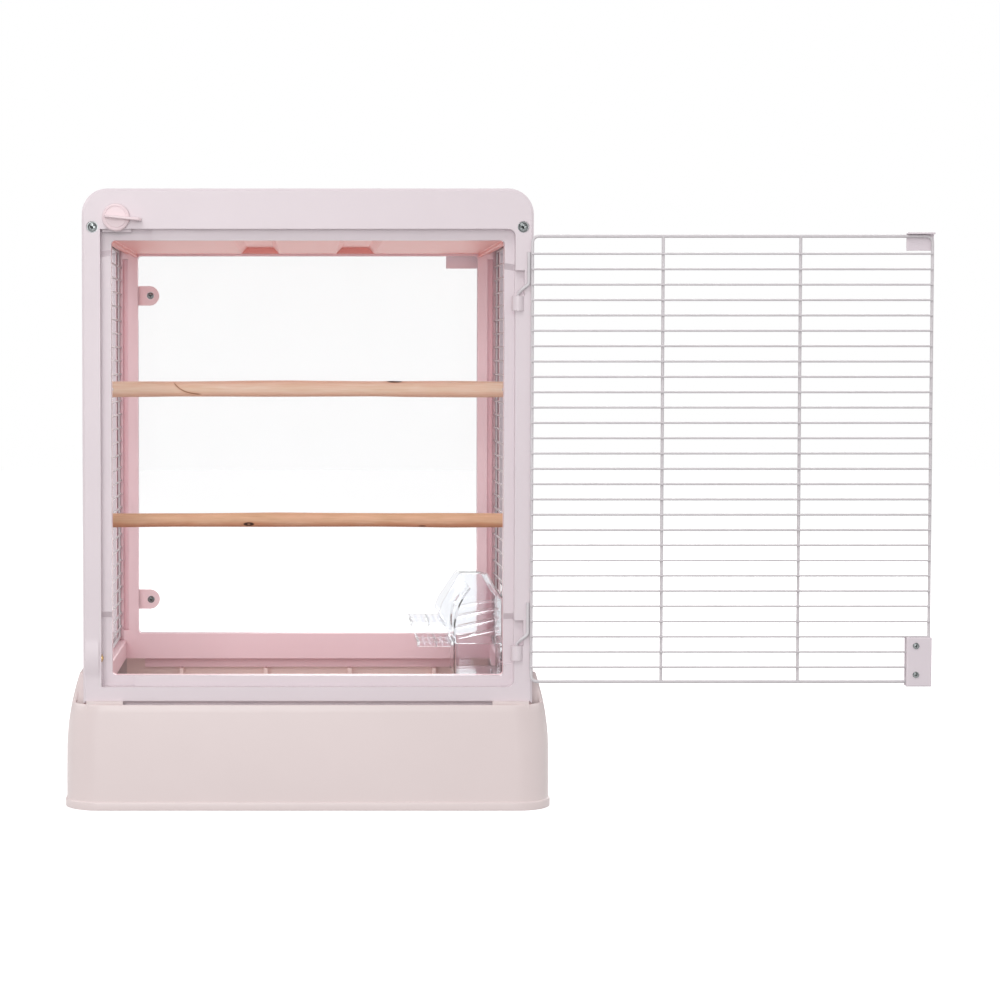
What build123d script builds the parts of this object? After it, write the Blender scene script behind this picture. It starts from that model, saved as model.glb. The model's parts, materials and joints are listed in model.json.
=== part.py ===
from build123d import *

import os

# Bird cage: a deep tub, two identical moulded end frames, wire sides, a wire door and a clear rear door.
# Origin at the centre of the tub's underside, +X to the right seen from the front, +Y to the rear, +Z up.
# The front door is modelled swung fully open, the rear door closed.
# Both end frames are one moulding, and what sits on the front frame is turned half a turn for the rear one.

# Clearances
SEAT_GAP = 0.3
PIN_PLAY = 0.08
BALL_PLAY = 0.05
WELD_GAP = 0.05
SHEET_GAP = 0.2
FRAME_TO_TUB = 0.6

# Cage body
CAGE_WIDTH = 370.0
CAGE_DEPTH = 330.0
CAGE_TOP = 510.0
FRAME_BOTTOM = 87.2
FRAME_THICK = 22.0
FRAME_CORNER = 21.0
FRAME_EDGE_ROUND = 2.0

# Doorway in each end frame: the bars round it and the stepped lip that the doors close on
SIDE_BAR = 25.0
TOP_BAR = 43.0
BOTTOM_BAR = 23.8
OPENING_ROUND = 3.0
LIP_WIDTH = 10.0
LOWER_LIP_WIDTH = 10.5
REBATE_DEPTH = 9.0
REBATE_ROUND = 6.0
POCKET_DEPTH = 13.0
POCKET_SLOPE = 5.0
CLIP_POCKET_WIDTH = 42.0
CLIP_POCKET_HEIGHT = 18.0
CATCH_POCKET_WIDTH = 27.0
CATCH_POCKET_HEIGHT = 56.5

# Skirt under each frame that drops inside the tub
SKIRT_HEIGHT = 10.0
SKIRT_THICK = 3.0
SKIRT_SIDE_INSET = 30.0
SKIRT_INSET = 3.0

# Hinge sockets
HINGE_OFFSET = 2.2
HINGE_DEPTH = 1.5
SOCKET_RADIUS = 4.9
SOCKET_HEIGHT = 12.0
SOCKET_FLOOR = 1.5
SOCKET_FLATS = 16
LOWER_SOCKET_UP = 22.2
UPPER_SOCKET_DOWN = 66.8
HINGE_RECESS_WIDTH = 7.5
HINGE_RECESS_DEPTH = 7.0
HINGE_RECESS_HEIGHT = 21.0
HINGE_POCKET_BELOW = 3.0
PIN_RADIUS = 1.4

# Small turned pieces such as screws and washers are drawn with this many flats
TURNED_FLATS = 10
# Share of a screw head's height that its bevel takes
HEAD_BEVEL = 0.4

# Screws that hold the frames to the roof cap
FRAME_SCREW_IN = 8.5
FRAME_SCREW_DOWN = 31.5
FRAME_SCREW_HEAD_RADIUS = 4.4
FRAME_SCREW_HEAD_HEIGHT = 2.4
FRAME_SCREW_RADIUS = 2.0
FRAME_SCREW_HOLE_PLAY = 0.3
FRAME_SCREW_SINK = 2.2
FRAME_SCREW_BITE = 10.0
BOSS_HALF = 4.4
BOSS_LENGTH = 14.0

# Turn knob
KNOB_IN = 28.3
KNOB_DOWN = 23.7
KNOB_RADIUS = 11.3
KNOB_DISC = 3.4
KNOB_BEVEL = 1.2
KNOB_FLATS = 16
KNOB_RING_WIDTH = 1.0
KNOB_RING_DEPTH = 0.6
KNOB_SHAFT_RADIUS = 5.0
KNOB_WALL = 7.0
KNOB_POCKET_HALF = 11.0
KNOB_REST_TILT = 5.8
LEVER_REACH = 21.3
LEVER_TAIL = 9.6
LEVER_THICK = 2.4
LEVER_PROUD = 7.5
LEVER_TIP_CUT = 3.0
KNOB_WASHER_RADIUS = 8.0
KNOB_WASHER_THICK = 1.2
KNOB_SCREW_RADIUS = 1.5
KNOB_SCREW_BITE = 8.0
KNOB_SCREW_HEAD_RADIUS = 3.0
KNOB_SCREW_HEAD_HEIGHT = 2.0

# Ball catch
CATCH_UP = 23.5
CATCH_DEPTH = 5.0
SLEEVE_RADIUS = 3.4
SLEEVE_LENGTH = 10.0
SLEEVE_WALL = 0.8
SLEEVE_PROUD = 0.4
BALL_PROUD = 1.6
BALL_BEVEL = 1.3
BALL_TRAVEL = 0.8
CATCH_SWELL_HEIGHT = 34.0
CATCH_SWELL = 2.4

# Hollow behind the top bar
TOP_HOLLOW_IN = 47.0
TOP_HOLLOW_MARGIN = 4.0
TOP_HOLLOW_FACE = 3.0
TOP_HOLLOW_RIBS = 3
TOP_HOLLOW_RIB = 2.5

# Roof cap and ceiling
ROOF_INSET = 1.5
ROOF_WALL = 2.5
ROOF_DEPTH = 36.0
CEILING_UP = 2.0
CEILING_THICK = 2.5
CEILING_BOSS_GAP = 0.6
CEILING_CHANNEL_X = 44.5
CEILING_CHANNEL_BOTTOM = 35.8
CEILING_CHANNEL_TOP = 24.5
CEILING_CHANNEL_RISE = 5.7
CHANNEL_POINTS = 4
CEILING_RIB_IN = 9.5
CEILING_RIB = 3.0
CEILING_RIB_DROP = 3.0

# Side wire panels
WIRE_RADIUS = 1.0
FRAME_WIRE_RADIUS = 1.4
WIRE_PITCH = 12.55
WIRE_FIRST_UP = 6.6
PANEL_IN = 9.0
FRAME_WIRE_FLATS = 6
WIRE_FLATS = 4
PANEL_SILL_GAP = 1.1
PANEL_ROOF_GAP = 1.6
PANEL_UPRIGHT_Y = 48.0
PANEL_CORNER = 4.0
GROOVE_DEPTH = 6.0
GROOVE_HALF = 3.0
WELD_SINK = 0.25

# Side sills
SILL_HALF_WIDTH = 5.5
SILL_HEIGHT = 17.3
SILL_ROUND = 1.5
SILL_TONGUE_DEPTH = 5.4

# Tub
TUB_SIDE_REACH = 15.0
TUB_END_REACH = 10.0
TUB_WALL = 2.8
TUB_FLOOR = 3.0
TUB_CORNER = 28.0
TUB_RIM = 111.0
TUB_RIM_END_IN = 15.0
TUB_RIM_ROUND = 5.0
TUB_FOOT_HEIGHT = 7.0
TUB_FOOT_PROUD = 1.2
TUB_FOOT_BEVEL = 0.6
# Height as a share of the rim height, then how far each side wall and each end wall has come in there
TUB_CURVE = (
    (0.0, 0.0, 0.0),
    (0.5, 0.5, 1.8),
    (0.7, 2.5, 3.1),
    (0.85, 5.9, 4.0),
    (1.0, 10.6, 5.0),
)
RIB_COUNT = 4
RIB_PITCH = 80.0
RIB_THICK = 4.0
RIB_PAST_SKIRT = 7.0
RIB_STEP = 20.0
GRATE_SEAT_Z = 58.0

# Floor grate
GRATE_SIDE_GAP = 18.0
GRATE_END_GAP = 6.0
GRATE_CORNER = 12.0
GRATE_CROSS_Y = 50.0
GRATE_PITCH = 17.0

# Wire front door, open
DOOR_NEAR = 11.5
DOOR_FREE_GAP = 3.9
DOOR_BAYS = (106.8, 112.3)
DOOR_BOTTOM_GAP = 4.9
DOOR_TOP_GAP = 6.2
DOOR_WIRE_RADIUS = 1.5
DOOR_CORNER = 5.0
DOOR_OFFSET = 3.6
ROD_RUN = 26.0
ROD_FLATS = 8
ROD_KNEE = 3.6
ROD_STEP = 4.0
CLIP_LENGTH = 22.3
CLIP_DROP = 11.6
CLIP_SHEET = 1.5
CLIP_FLANGE = 7.0
CATCH_PLATE_LENGTH = 20.8
CATCH_PLATE_BELOW = 3.6
CATCH_PLATE_HEIGHT = 40.6
CATCH_PLATE_THICK = 2.4
CATCH_PLATE_BEVEL = 0.8
PLATE_SCREW_IN = 13.2
PLATE_SCREW_UP = 10.1
PLATE_SCREW_DOWN = 7.0
PLATE_SCREW_RADIUS = 1.3
PLATE_SCREW_HEAD_RADIUS = 2.6
PLATE_SCREW_HEAD_HEIGHT = 1.6

# Clear rear door
CLEAR_THICK = 2.5
CLEAR_FLOOR_GAP = 0.6
CLEAR_TOP_GAP = 3.5
CLEAR_BOTTOM_GAP = 3.0
CLEAR_FREE_GAP = 2.2
CLEAR_HINGE_GAP = 2.6
CLEAR_ROUND = 4.0
TAB_HEIGHT = 18.4
TAB_THICK = 3.0
TAB_REACH = 31.7
TAB_ABOVE_SOCKET = 7.7
KNUCKLE_RADIUS = 3.2
KNUCKLE_HEIGHT = 14.0
KNUCKLE_GAP = 0.6
TAB_SCREW_IN = 8.2
TAB_SCREW_RADIUS = 1.5
TAB_SCREW_HEAD_RADIUS = 3.3
TAB_SCREW_HEAD_HEIGHT = 1.8
CLEAR_CLIP_LEFT = 5.0
CLEAR_CLIP_LENGTH = 34.0
CLEAR_CLIP_TOP_GAP = 6.2
CLEAR_CLIP_HEIGHT = 15.0
CLEAR_CLIP_THICK = 4.0
CLEAR_CLIP_BEVEL = 1.0

# Perches
PERCH_OVERHANG = 4.5
PERCH_KERF_DEPTH = 8.5
PERCH_KERF_PLAY = 0.2
# Wires below the one that each perch is slotted onto
UPPER_PERCH_WIRE_COUNT = 18
LOWER_PERCH_WIRE_COUNT = 9
# Each perch's depth in the cage, its radius and how far its middle hangs below its wire
UPPER_PERCH = (4.0, 7.2, 0.0)
LOWER_PERCH = (-34.0, 6.3, 1.0)
# Share of the reach from the middle, the radius there as a share of the stick's own, and how far it bows up
PERCH_STATIONS = (
    (-1.0, 1.0, 0.0),
    (-0.6, 0.95, 0.4),
    (-0.15, 1.02, 0.7),
    (0.3, 0.96, 0.5),
    (0.7, 1.03, 0.2),
    (1.0, 0.98, 0.0),
)

# Clear feeder, with X from the plane of the side wires and Z from the underside of its cup
FEEDER_HALF = 36.0
FEEDER_WALL = 1.8
FEEDER_FRONT_X = -48.0
FEEDER_BACK_GAP = 2.4
CUP_HEIGHT = 29.5
CUP_ROUND = 7.0
HOOD_GAP = 0.3
HOOD_TOP = 93.0
HOOD_SHOULDER = (-18.0, 78.0)
HOOD_FRONT_TOP_X = -43.0
HOOD_CHEEK = (-58.5, 66.0)
HOOD_NOSE = (-62.0, 55.0)
HOOD_RIB_PITCH = 9.5
HOOD_RIB_COUNT = 3
HOOD_RIB_TILT = 12.0
HOOD_RIB_WIDTH = 2.4
HOOD_RIB_PROUD = 0.9
HOOD_RIB_END = 7.2
GUARD_WALL = 1.5
GUARD_SIDE_GAP = 0.4
GUARD_FOLDS = 6
GUARD_CURVE = ((-46.4, 30.0), (-46.1, 55.0), (-34.0, 78.0))
GUARD_WINDOW_HALF = 22.0
GUARD_WINDOW_BOTTOM = 42.0
GUARD_WINDOW_TOP = 68.0
GUARD_WINDOW_CUT = 8.0
STEP_THICK = 4.0
STEP_BAR = 2.0
STEP_LONG_BARS = 3
STEP_CROSS_BARS = 7
# Near and far end of each step along X, and its underside
UPPER_STEP = (-86.5, -55.0, 45.0)
LOWER_STEP = (-80.0, -48.3, 27.0)
HOOK_HALF = 14.0
HOOK_THICK = 1.6
HOOK_WIDTH = 8.0
HOOK_DROP = 5.0
HOOK_PLAY = 0.4
# Wires below each of the two that the feeder hangs on, and how far up the lower of the two is
LOWER_HOOK_WIRE_COUNT = 2
UPPER_HOOK_WIRE_COUNT = 4
HOOK_WIRE_UP = 50.7

# Worked out from the sizes above
HALF_WIDTH = CAGE_WIDTH / 2
FRONT_Y = -CAGE_DEPTH / 2
FRAME_BACK_Y = FRONT_Y + FRAME_THICK
OPENING_HALF = HALF_WIDTH - SIDE_BAR
OPENING_BOTTOM = FRAME_BOTTOM + BOTTOM_BAR
OPENING_TOP = CAGE_TOP - TOP_BAR
REBATE_HALF = OPENING_HALF + LIP_WIDTH
REBATE_BOTTOM = OPENING_BOTTOM - LOWER_LIP_WIDTH
REBATE_TOP = OPENING_TOP + LIP_WIDTH
REBATE_Y = FRONT_Y + REBATE_DEPTH
POCKET_Y = FRONT_Y + POCKET_DEPTH
SKIRT_Y = FRONT_Y + SKIRT_INSET
HINGE_X = REBATE_HALF + HINGE_OFFSET
HINGE_Y = FRONT_Y + HINGE_DEPTH
SOCKET_BOTTOMS = (REBATE_BOTTOM + LOWER_SOCKET_UP, REBATE_TOP - UPPER_SOCKET_DOWN)
FRAME_SCREW_X = HALF_WIDTH - FRAME_SCREW_IN
FRAME_SCREW_Z = CAGE_TOP - FRAME_SCREW_DOWN
KNOB_X = KNOB_IN - HALF_WIDTH
KNOB_Z = CAGE_TOP - KNOB_DOWN
KNOB_WALL_Y = FRONT_Y + KNOB_WALL
KNOB_SHAFT_END = KNOB_WALL_Y + SEAT_GAP
LEVER_Y = FRONT_Y - SEAT_GAP
BALL_RADIUS = SLEEVE_RADIUS - SLEEVE_WALL
CATCH_Y = FRONT_Y + CATCH_DEPTH
CATCH_Z = REBATE_BOTTOM + CATCH_UP
SLEEVE_END_X = -REBATE_HALF - SLEEVE_LENGTH + SEAT_GAP
SPAN_HALF = -FRAME_BACK_Y - SEAT_GAP
CEILING_UNDERSIDE = OPENING_TOP + CEILING_UP
CEILING_HALF = FRAME_SCREW_X - BOSS_HALF - CEILING_BOSS_GAP
ROOF_SIDE_BOTTOM = CAGE_TOP - ROOF_DEPTH
SILL_TOP = FRAME_BOTTOM + SILL_HEIGHT
PANEL_PLANE = HALF_WIDTH - PANEL_IN
PANEL_LOOP_X = PANEL_PLANE + WIRE_RADIUS + FRAME_WIRE_RADIUS - WELD_SINK
PANEL_LOOP_Y = -FRAME_BACK_Y + GROOVE_DEPTH / 2
PANEL_BOTTOM_Z = SILL_TOP + PANEL_SILL_GAP + FRAME_WIRE_RADIUS
PANEL_TOP_Z = ROOF_SIDE_BOTTOM - PANEL_ROOF_GAP - FRAME_WIRE_RADIUS
GROOVE_X = (PANEL_PLANE + PANEL_LOOP_X) / 2
WIRE_FIRST_Z = OPENING_BOTTOM + WIRE_FIRST_UP
WIRE_COUNT = 1 + int((OPENING_TOP - WIRE_FIRST_Z) / WIRE_PITCH)
WIRE_ZS = tuple(WIRE_FIRST_Z + number * WIRE_PITCH for number in range(WIRE_COUNT))
TUB_HALF_WIDTH = HALF_WIDTH + TUB_SIDE_REACH
TUB_HALF_DEPTH = -FRONT_Y + TUB_END_REACH
TUB_FRONT_TOP = FRAME_BOTTOM - FRAME_TO_TUB
TUB_RIM_START = -FRONT_Y - TUB_RIM_END_IN
RIB_INNER_Y = -SKIRT_Y - SKIRT_THICK - RIB_PAST_SKIRT
RIB_XS = tuple((number - (RIB_COUNT - 1) / 2) * RIB_PITCH for number in range(RIB_COUNT))
GRATE_HALF_WIDTH = TUB_HALF_WIDTH - GRATE_SIDE_GAP
GRATE_HALF_DEPTH = RIB_INNER_Y - GRATE_END_GAP
DOOR_Y = HINGE_Y - DOOR_OFFSET
DOOR_NEAR_X = HINGE_X + DOOR_NEAR
DOOR_FAR_X = 2 * HINGE_X + REBATE_HALF - DOOR_FREE_GAP
DOOR_BOTTOM_Z = REBATE_BOTTOM + DOOR_BOTTOM_GAP
DOOR_TOP_Z = REBATE_TOP - DOOR_TOP_GAP
DOOR_WIRE_Y = DOOR_Y - DOOR_WIRE_RADIUS - WIRE_RADIUS + WELD_SINK
PLATE_RIGHT = DOOR_FAR_X + DOOR_WIRE_RADIUS
PLATE_BOTTOM = DOOR_BOTTOM_Z - CATCH_PLATE_BELOW
PLATE_TOP = PLATE_BOTTOM + CATCH_PLATE_HEIGHT
PLATE_FRONT_Y = DOOR_WIRE_Y - WIRE_RADIUS - WELD_GAP
PLATE_BACK_Y = DOOR_Y + DOOR_WIRE_RADIUS + WELD_GAP
PLATE_SCREW_X = PLATE_RIGHT - PLATE_SCREW_IN
PLATE_SCREW_ZS = (PLATE_BOTTOM + PLATE_SCREW_UP, PLATE_TOP - PLATE_SCREW_DOWN)
CLEAR_Y = REBATE_Y - CLEAR_FLOOR_GAP
CLEAR_FACE_Y = CLEAR_Y - CLEAR_THICK
TAB_Y = CLEAR_Y + WELD_GAP
FEEDER_BACK_X = -WIRE_RADIUS - HOOK_THICK - FEEDER_BACK_GAP
FEEDER_PLACE = (PANEL_PLANE, 0, WIRE_ZS[LOWER_HOOK_WIRE_COUNT] - HOOK_WIRE_UP)
HOOK_SPREAD = (UPPER_HOOK_WIRE_COUNT - LOWER_HOOK_WIRE_COUNT) * WIRE_PITCH


def block(x0, x1, y0, y1, z0, z1):
    """A box between two corners."""
    size = Box(x1 - x0, y1 - y0, z1 - z0)
    return Pos((x0 + x1) / 2, (y0 + y1) / 2, (z0 + z1) / 2) * size


def rod(start, end, radius):
    """A straight round bar between two points, for pins, shafts and what they turn in."""
    along = Vector(*end) - Vector(*start)
    bar = Cylinder(radius, along.length, align=(Align.CENTER, Align.CENTER, Align.MIN))
    return Plane(origin=start, z_dir=along) * bar


def flatted(start, end, radius, flats=TURNED_FLATS):
    """A straight bar with flats between two points, for small turned pieces and their holes."""
    along = Vector(*end) - Vector(*start)
    section = RegularPolygon(radius, flats, major_radius=False)
    return extrude(Plane(origin=start, z_dir=along) * section, amount=along.length)


def wire(start, end, radius, flats, outward):
    """A straight wire with flats, one edge of it facing outward, square to its panel."""
    along = Vector(*end) - Vector(*start)
    section = RegularPolygon(radius, flats)
    return extrude(Plane(origin=start, x_dir=outward, z_dir=along) * section, amount=along.length)


def wire_loop(corners, radius, bend, outward):
    """A closed loop of wire whose corners are cut by bend."""
    turns = []
    for number, corner in enumerate(corners):
        here = Vector(*corner)
        for other in (corners[number - 1], corners[(number + 1) % len(corners)]):
            turns.append(here + (Vector(*other) - here).normalized() * bend)
    seam = (turns[-1] + turns[0]) / 2
    path = Polyline(seam, *turns, close=True)
    section = RegularPolygon(radius, FRAME_WIRE_FLATS)
    plane = Plane(origin=seam, x_dir=outward, z_dir=path % 0)
    return sweep(plane * section, path=path, transition=Transition.RIGHT)


def welded_grid(corners, uprights, wires, radius, bend, outward):
    """A loop with crossing uprights and thinner wires, welded into one piece."""
    grid = wire_loop(corners, radius, bend, outward)
    thick = [wire(*ends, radius, FRAME_WIRE_FLATS, outward) for ends in uprights]
    thin = [wire(*ends, WIRE_RADIUS, WIRE_FLATS, outward) for ends in wires]
    return grid.fuse(*thick, *thin)


def outline_xz(points, y0, y1):
    """A shape drawn in the X and Z plane, made solid from y0 to y1."""
    face = make_face(Polyline(*[(x, y0, z) for x, z in points], close=True))
    return extrude(face, amount=y1 - y0, dir=(0, 1, 0))


def outline_yz(points, x0, x1):
    """A shape drawn in the Y and Z plane, made solid from x0 to x1."""
    face = make_face(Polyline(*[(x0, y, z) for y, z in points], close=True))
    return extrude(face, amount=x1 - x0, dir=(1, 0, 0))


def rounded_window(half, z0, z1, y0, y1, radius):
    """A rounded rectangle through the frame's thickness."""
    plane = Plane(origin=(0, y0, (z0 + z1) / 2), x_dir=(1, 0, 0), z_dir=(0, 1, 0))
    return extrude(plane * RectangleRounded(2 * half, z1 - z0, radius), amount=y1 - y0)


def screw_along_y(x, z, seat, tip, shaft_radius, head_radius, head_height):
    """Pan head screw whose head sits on the side of seat that faces away from its tip."""
    toward = 1 if tip > seat else -1
    shaft = flatted((x, seat, z), (x, tip, z), shaft_radius)
    crown = seat - toward * head_height
    head = flatted((x, crown, z), (x, seat, z), head_radius)
    outer = head.faces().sort_by_distance((x, crown, z))[0]
    return chamfer(outer.edges(), head_height * HEAD_BEVEL) + shaft


def turned(shape):
    """The same piece on the rear frame."""
    return shape.rotate(Axis.Z, 180)


# Tub

def tub_body(inset, bottom):
    """The flared box, every wall moved in by inset and starting at bottom."""
    sections = []
    for share, side_in, end_in in TUB_CURVE:
        height = bottom + (TUB_RIM - bottom) * share
        size = RectangleRounded(
            2 * (TUB_HALF_WIDTH - side_in - inset),
            2 * (TUB_HALF_DEPTH - end_in - inset),
            TUB_CORNER - inset,
        )
        sections.append(Plane.XY.offset(height) * size)
    return loft(sections, ruled=True)


def tub_end_cut(end):
    """What is cut away above the low end wall, with a rounded step up to the side rim."""
    far = end * (TUB_HALF_DEPTH + TUB_WALL)
    near = end * TUB_RIM_START
    top = TUB_RIM + TUB_WALL
    path = FilletPolyline(
        (0, far, TUB_FRONT_TOP), (0, near, TUB_FRONT_TOP), (0, near, top), radius=TUB_RIM_ROUND
    )
    face = make_face(path + Polyline((0, near, top), (0, far, top), (0, far, TUB_FRONT_TOP)))
    return extrude(face, amount=TUB_HALF_WIDTH + TUB_WALL, both=True)


def base_tub():
    foot = extrude(
        RectangleRounded(
            2 * (TUB_HALF_WIDTH + TUB_FOOT_PROUD),
            2 * (TUB_HALF_DEPTH + TUB_FOOT_PROUD),
            TUB_CORNER + TUB_FOOT_PROUD,
        ),
        amount=TUB_FOOT_HEIGHT,
    )
    foot = chamfer(foot.edges().group_by(Axis.Z)[-1], TUB_FOOT_BEVEL)
    inside = tub_body(TUB_WALL, 0) & block(
        -TUB_HALF_WIDTH, TUB_HALF_WIDTH, -TUB_HALF_DEPTH, TUB_HALF_DEPTH, TUB_FLOOR, TUB_RIM
    )
    rib_top = FRAME_BOTTOM - SKIRT_HEIGHT - SEAT_GAP
    ribs = Part()
    for x in RIB_XS:
        for end in (-1, 1):
            low, high = sorted((end * (RIB_INNER_Y - RIB_STEP), end * TUB_HALF_DEPTH))
            tall, edge = sorted((end * RIB_INNER_Y, end * TUB_HALF_DEPTH))
            ribs += block(x - RIB_THICK / 2, x + RIB_THICK / 2, low, high, 0, GRATE_SEAT_Z)
            ribs += block(x - RIB_THICK / 2, x + RIB_THICK / 2, tall, edge, 0, rib_top)
    outer = tub_body(0, 0)
    walls = outer + foot - inside
    for end in (-1, 1):
        walls -= tub_end_cut(end)
    return walls + (ribs & outer)


def floor_grate():
    z = GRATE_SEAT_Z + SEAT_GAP + FRAME_WIRE_RADIUS
    loop = [
        (-GRATE_HALF_WIDTH, -GRATE_HALF_DEPTH, z),
        (GRATE_HALF_WIDTH, -GRATE_HALF_DEPTH, z),
        (GRATE_HALF_WIDTH, GRATE_HALF_DEPTH, z),
        (-GRATE_HALF_WIDTH, GRATE_HALF_DEPTH, z),
    ]
    crosses = [
        ((-GRATE_HALF_WIDTH, y, z), (GRATE_HALF_WIDTH, y, z)) for y in (-GRATE_CROSS_Y, GRATE_CROSS_Y)
    ]
    top_z = z + FRAME_WIRE_RADIUS + WIRE_RADIUS - WELD_SINK
    spaces = int(2 * (GRATE_HALF_WIDTH - GRATE_CORNER) / GRATE_PITCH)
    places = [(number - spaces / 2) * GRATE_PITCH for number in range(spaces + 1)]
    wires = [((x, -GRATE_HALF_DEPTH, top_z), (x, GRATE_HALF_DEPTH, top_z)) for x in places]
    return welded_grid(loop, crosses, wires, FRAME_WIRE_RADIUS, GRATE_CORNER, (0, 0, 1))


# End frame

def frame_outline(depth):
    """The frame's outer shape with its two rounded top corners."""
    width = HALF_WIDTH
    lower = [(-width, FRAME_BOTTOM), (width, FRAME_BOTTOM)]
    upper = [(width, CAGE_TOP), (-width, CAGE_TOP)]
    solid = outline_xz(lower + upper, FRONT_Y, FRONT_Y + depth)
    corners = solid.edges().filter_by(Axis.Y).group_by(Axis.Z)[-1]
    solid = fillet(corners, FRAME_CORNER)
    return chamfer(solid.faces().sort_by(Axis.Y)[0].edges(), FRAME_EDGE_ROUND)


def catch_swell():
    """The low bulge on the side bar in front of the ball catch."""
    half = CATCH_SWELL_HEIGHT / 2
    inner = -REBATE_HALF - FRAME_EDGE_ROUND
    low, high = CATCH_Z - half, CATCH_Z + half
    arc = ThreePointArc(
        (inner, FRONT_Y, low), (inner, FRONT_Y - CATCH_SWELL, CATCH_Z), (inner, FRONT_Y, high)
    )
    base = Polyline(
        (inner, FRONT_Y, high), (inner, REBATE_Y, high), (inner, REBATE_Y, low), (inner, FRONT_Y, low),
    )
    width = HALF_WIDTH - REBATE_HALF - 2 * FRAME_EDGE_ROUND
    return extrude(make_face(arc + base), amount=width, dir=(-1, 0, 0))


def sloped_pocket(x0, x1, z0, z1, slope):
    """A deeper patch of the rebate floor whose upper or lower end runs out in a slope."""
    behind = FRONT_Y - CATCH_SWELL
    start, end = sorted((z1, z1 + slope)) if slope > 0 else sorted((z0 + slope, z0))
    if slope > 0:
        points = [(behind, z0), (POCKET_Y, z0), (POCKET_Y, start), (REBATE_Y, end), (behind, end)]
    else:
        points = [(behind, start), (REBATE_Y, start), (POCKET_Y, end), (POCKET_Y, z1), (behind, z1)]
    return outline_yz(points, x0, x1)


def frame_screw_holes():
    holes = Part()
    for x in (-FRAME_SCREW_X, FRAME_SCREW_X):
        hole = FRAME_SCREW_RADIUS + FRAME_SCREW_HOLE_PLAY
        sink = FRAME_SCREW_HEAD_RADIUS + FRAME_SCREW_HOLE_PLAY
        holes += flatted((x, FRONT_Y, FRAME_SCREW_Z), (x, FRAME_BACK_Y, FRAME_SCREW_Z), hole)
        holes += flatted((x, FRONT_Y, FRAME_SCREW_Z), (x, FRONT_Y + FRAME_SCREW_SINK, FRAME_SCREW_Z), sink)
    return holes


def top_hollow():
    """Pockets behind the top bar, split by upright ribs."""
    half = HALF_WIDTH - TOP_HOLLOW_IN
    cell = (2 * half - TOP_HOLLOW_RIBS * TOP_HOLLOW_RIB) / (TOP_HOLLOW_RIBS + 1)
    cells = Part()
    for number in range(TOP_HOLLOW_RIBS + 1):
        left = -half + number * (cell + TOP_HOLLOW_RIB)
        cells += block(
            left, left + cell, FRONT_Y + TOP_HOLLOW_FACE, FRAME_BACK_Y,
            REBATE_TOP + TOP_HOLLOW_MARGIN, CAGE_TOP - TOP_HOLLOW_MARGIN,
        )
    return cells


def hinge_seat(bottom):
    """What is cut round one hinge socket, and the socket itself with its bore."""
    top = bottom + SOCKET_HEIGHT
    high = top + HINGE_RECESS_HEIGHT
    cut = sloped_pocket(OPENING_HALF, REBATE_HALF, bottom - HINGE_POCKET_BELOW, high, POCKET_SLOPE)
    cut += block(
        REBATE_HALF, REBATE_HALF + HINGE_RECESS_WIDTH,
        FRONT_Y - CATCH_SWELL, FRONT_Y + HINGE_RECESS_DEPTH, top, high,
    )
    socket = flatted((HINGE_X, HINGE_Y, bottom), (HINGE_X, HINGE_Y, top), SOCKET_RADIUS, SOCKET_FLATS)
    bore = rod((HINGE_X, HINGE_Y, bottom + SOCKET_FLOOR), (HINGE_X, HINGE_Y, top), PIN_RADIUS + PIN_PLAY)
    return cut, socket, bore


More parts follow.
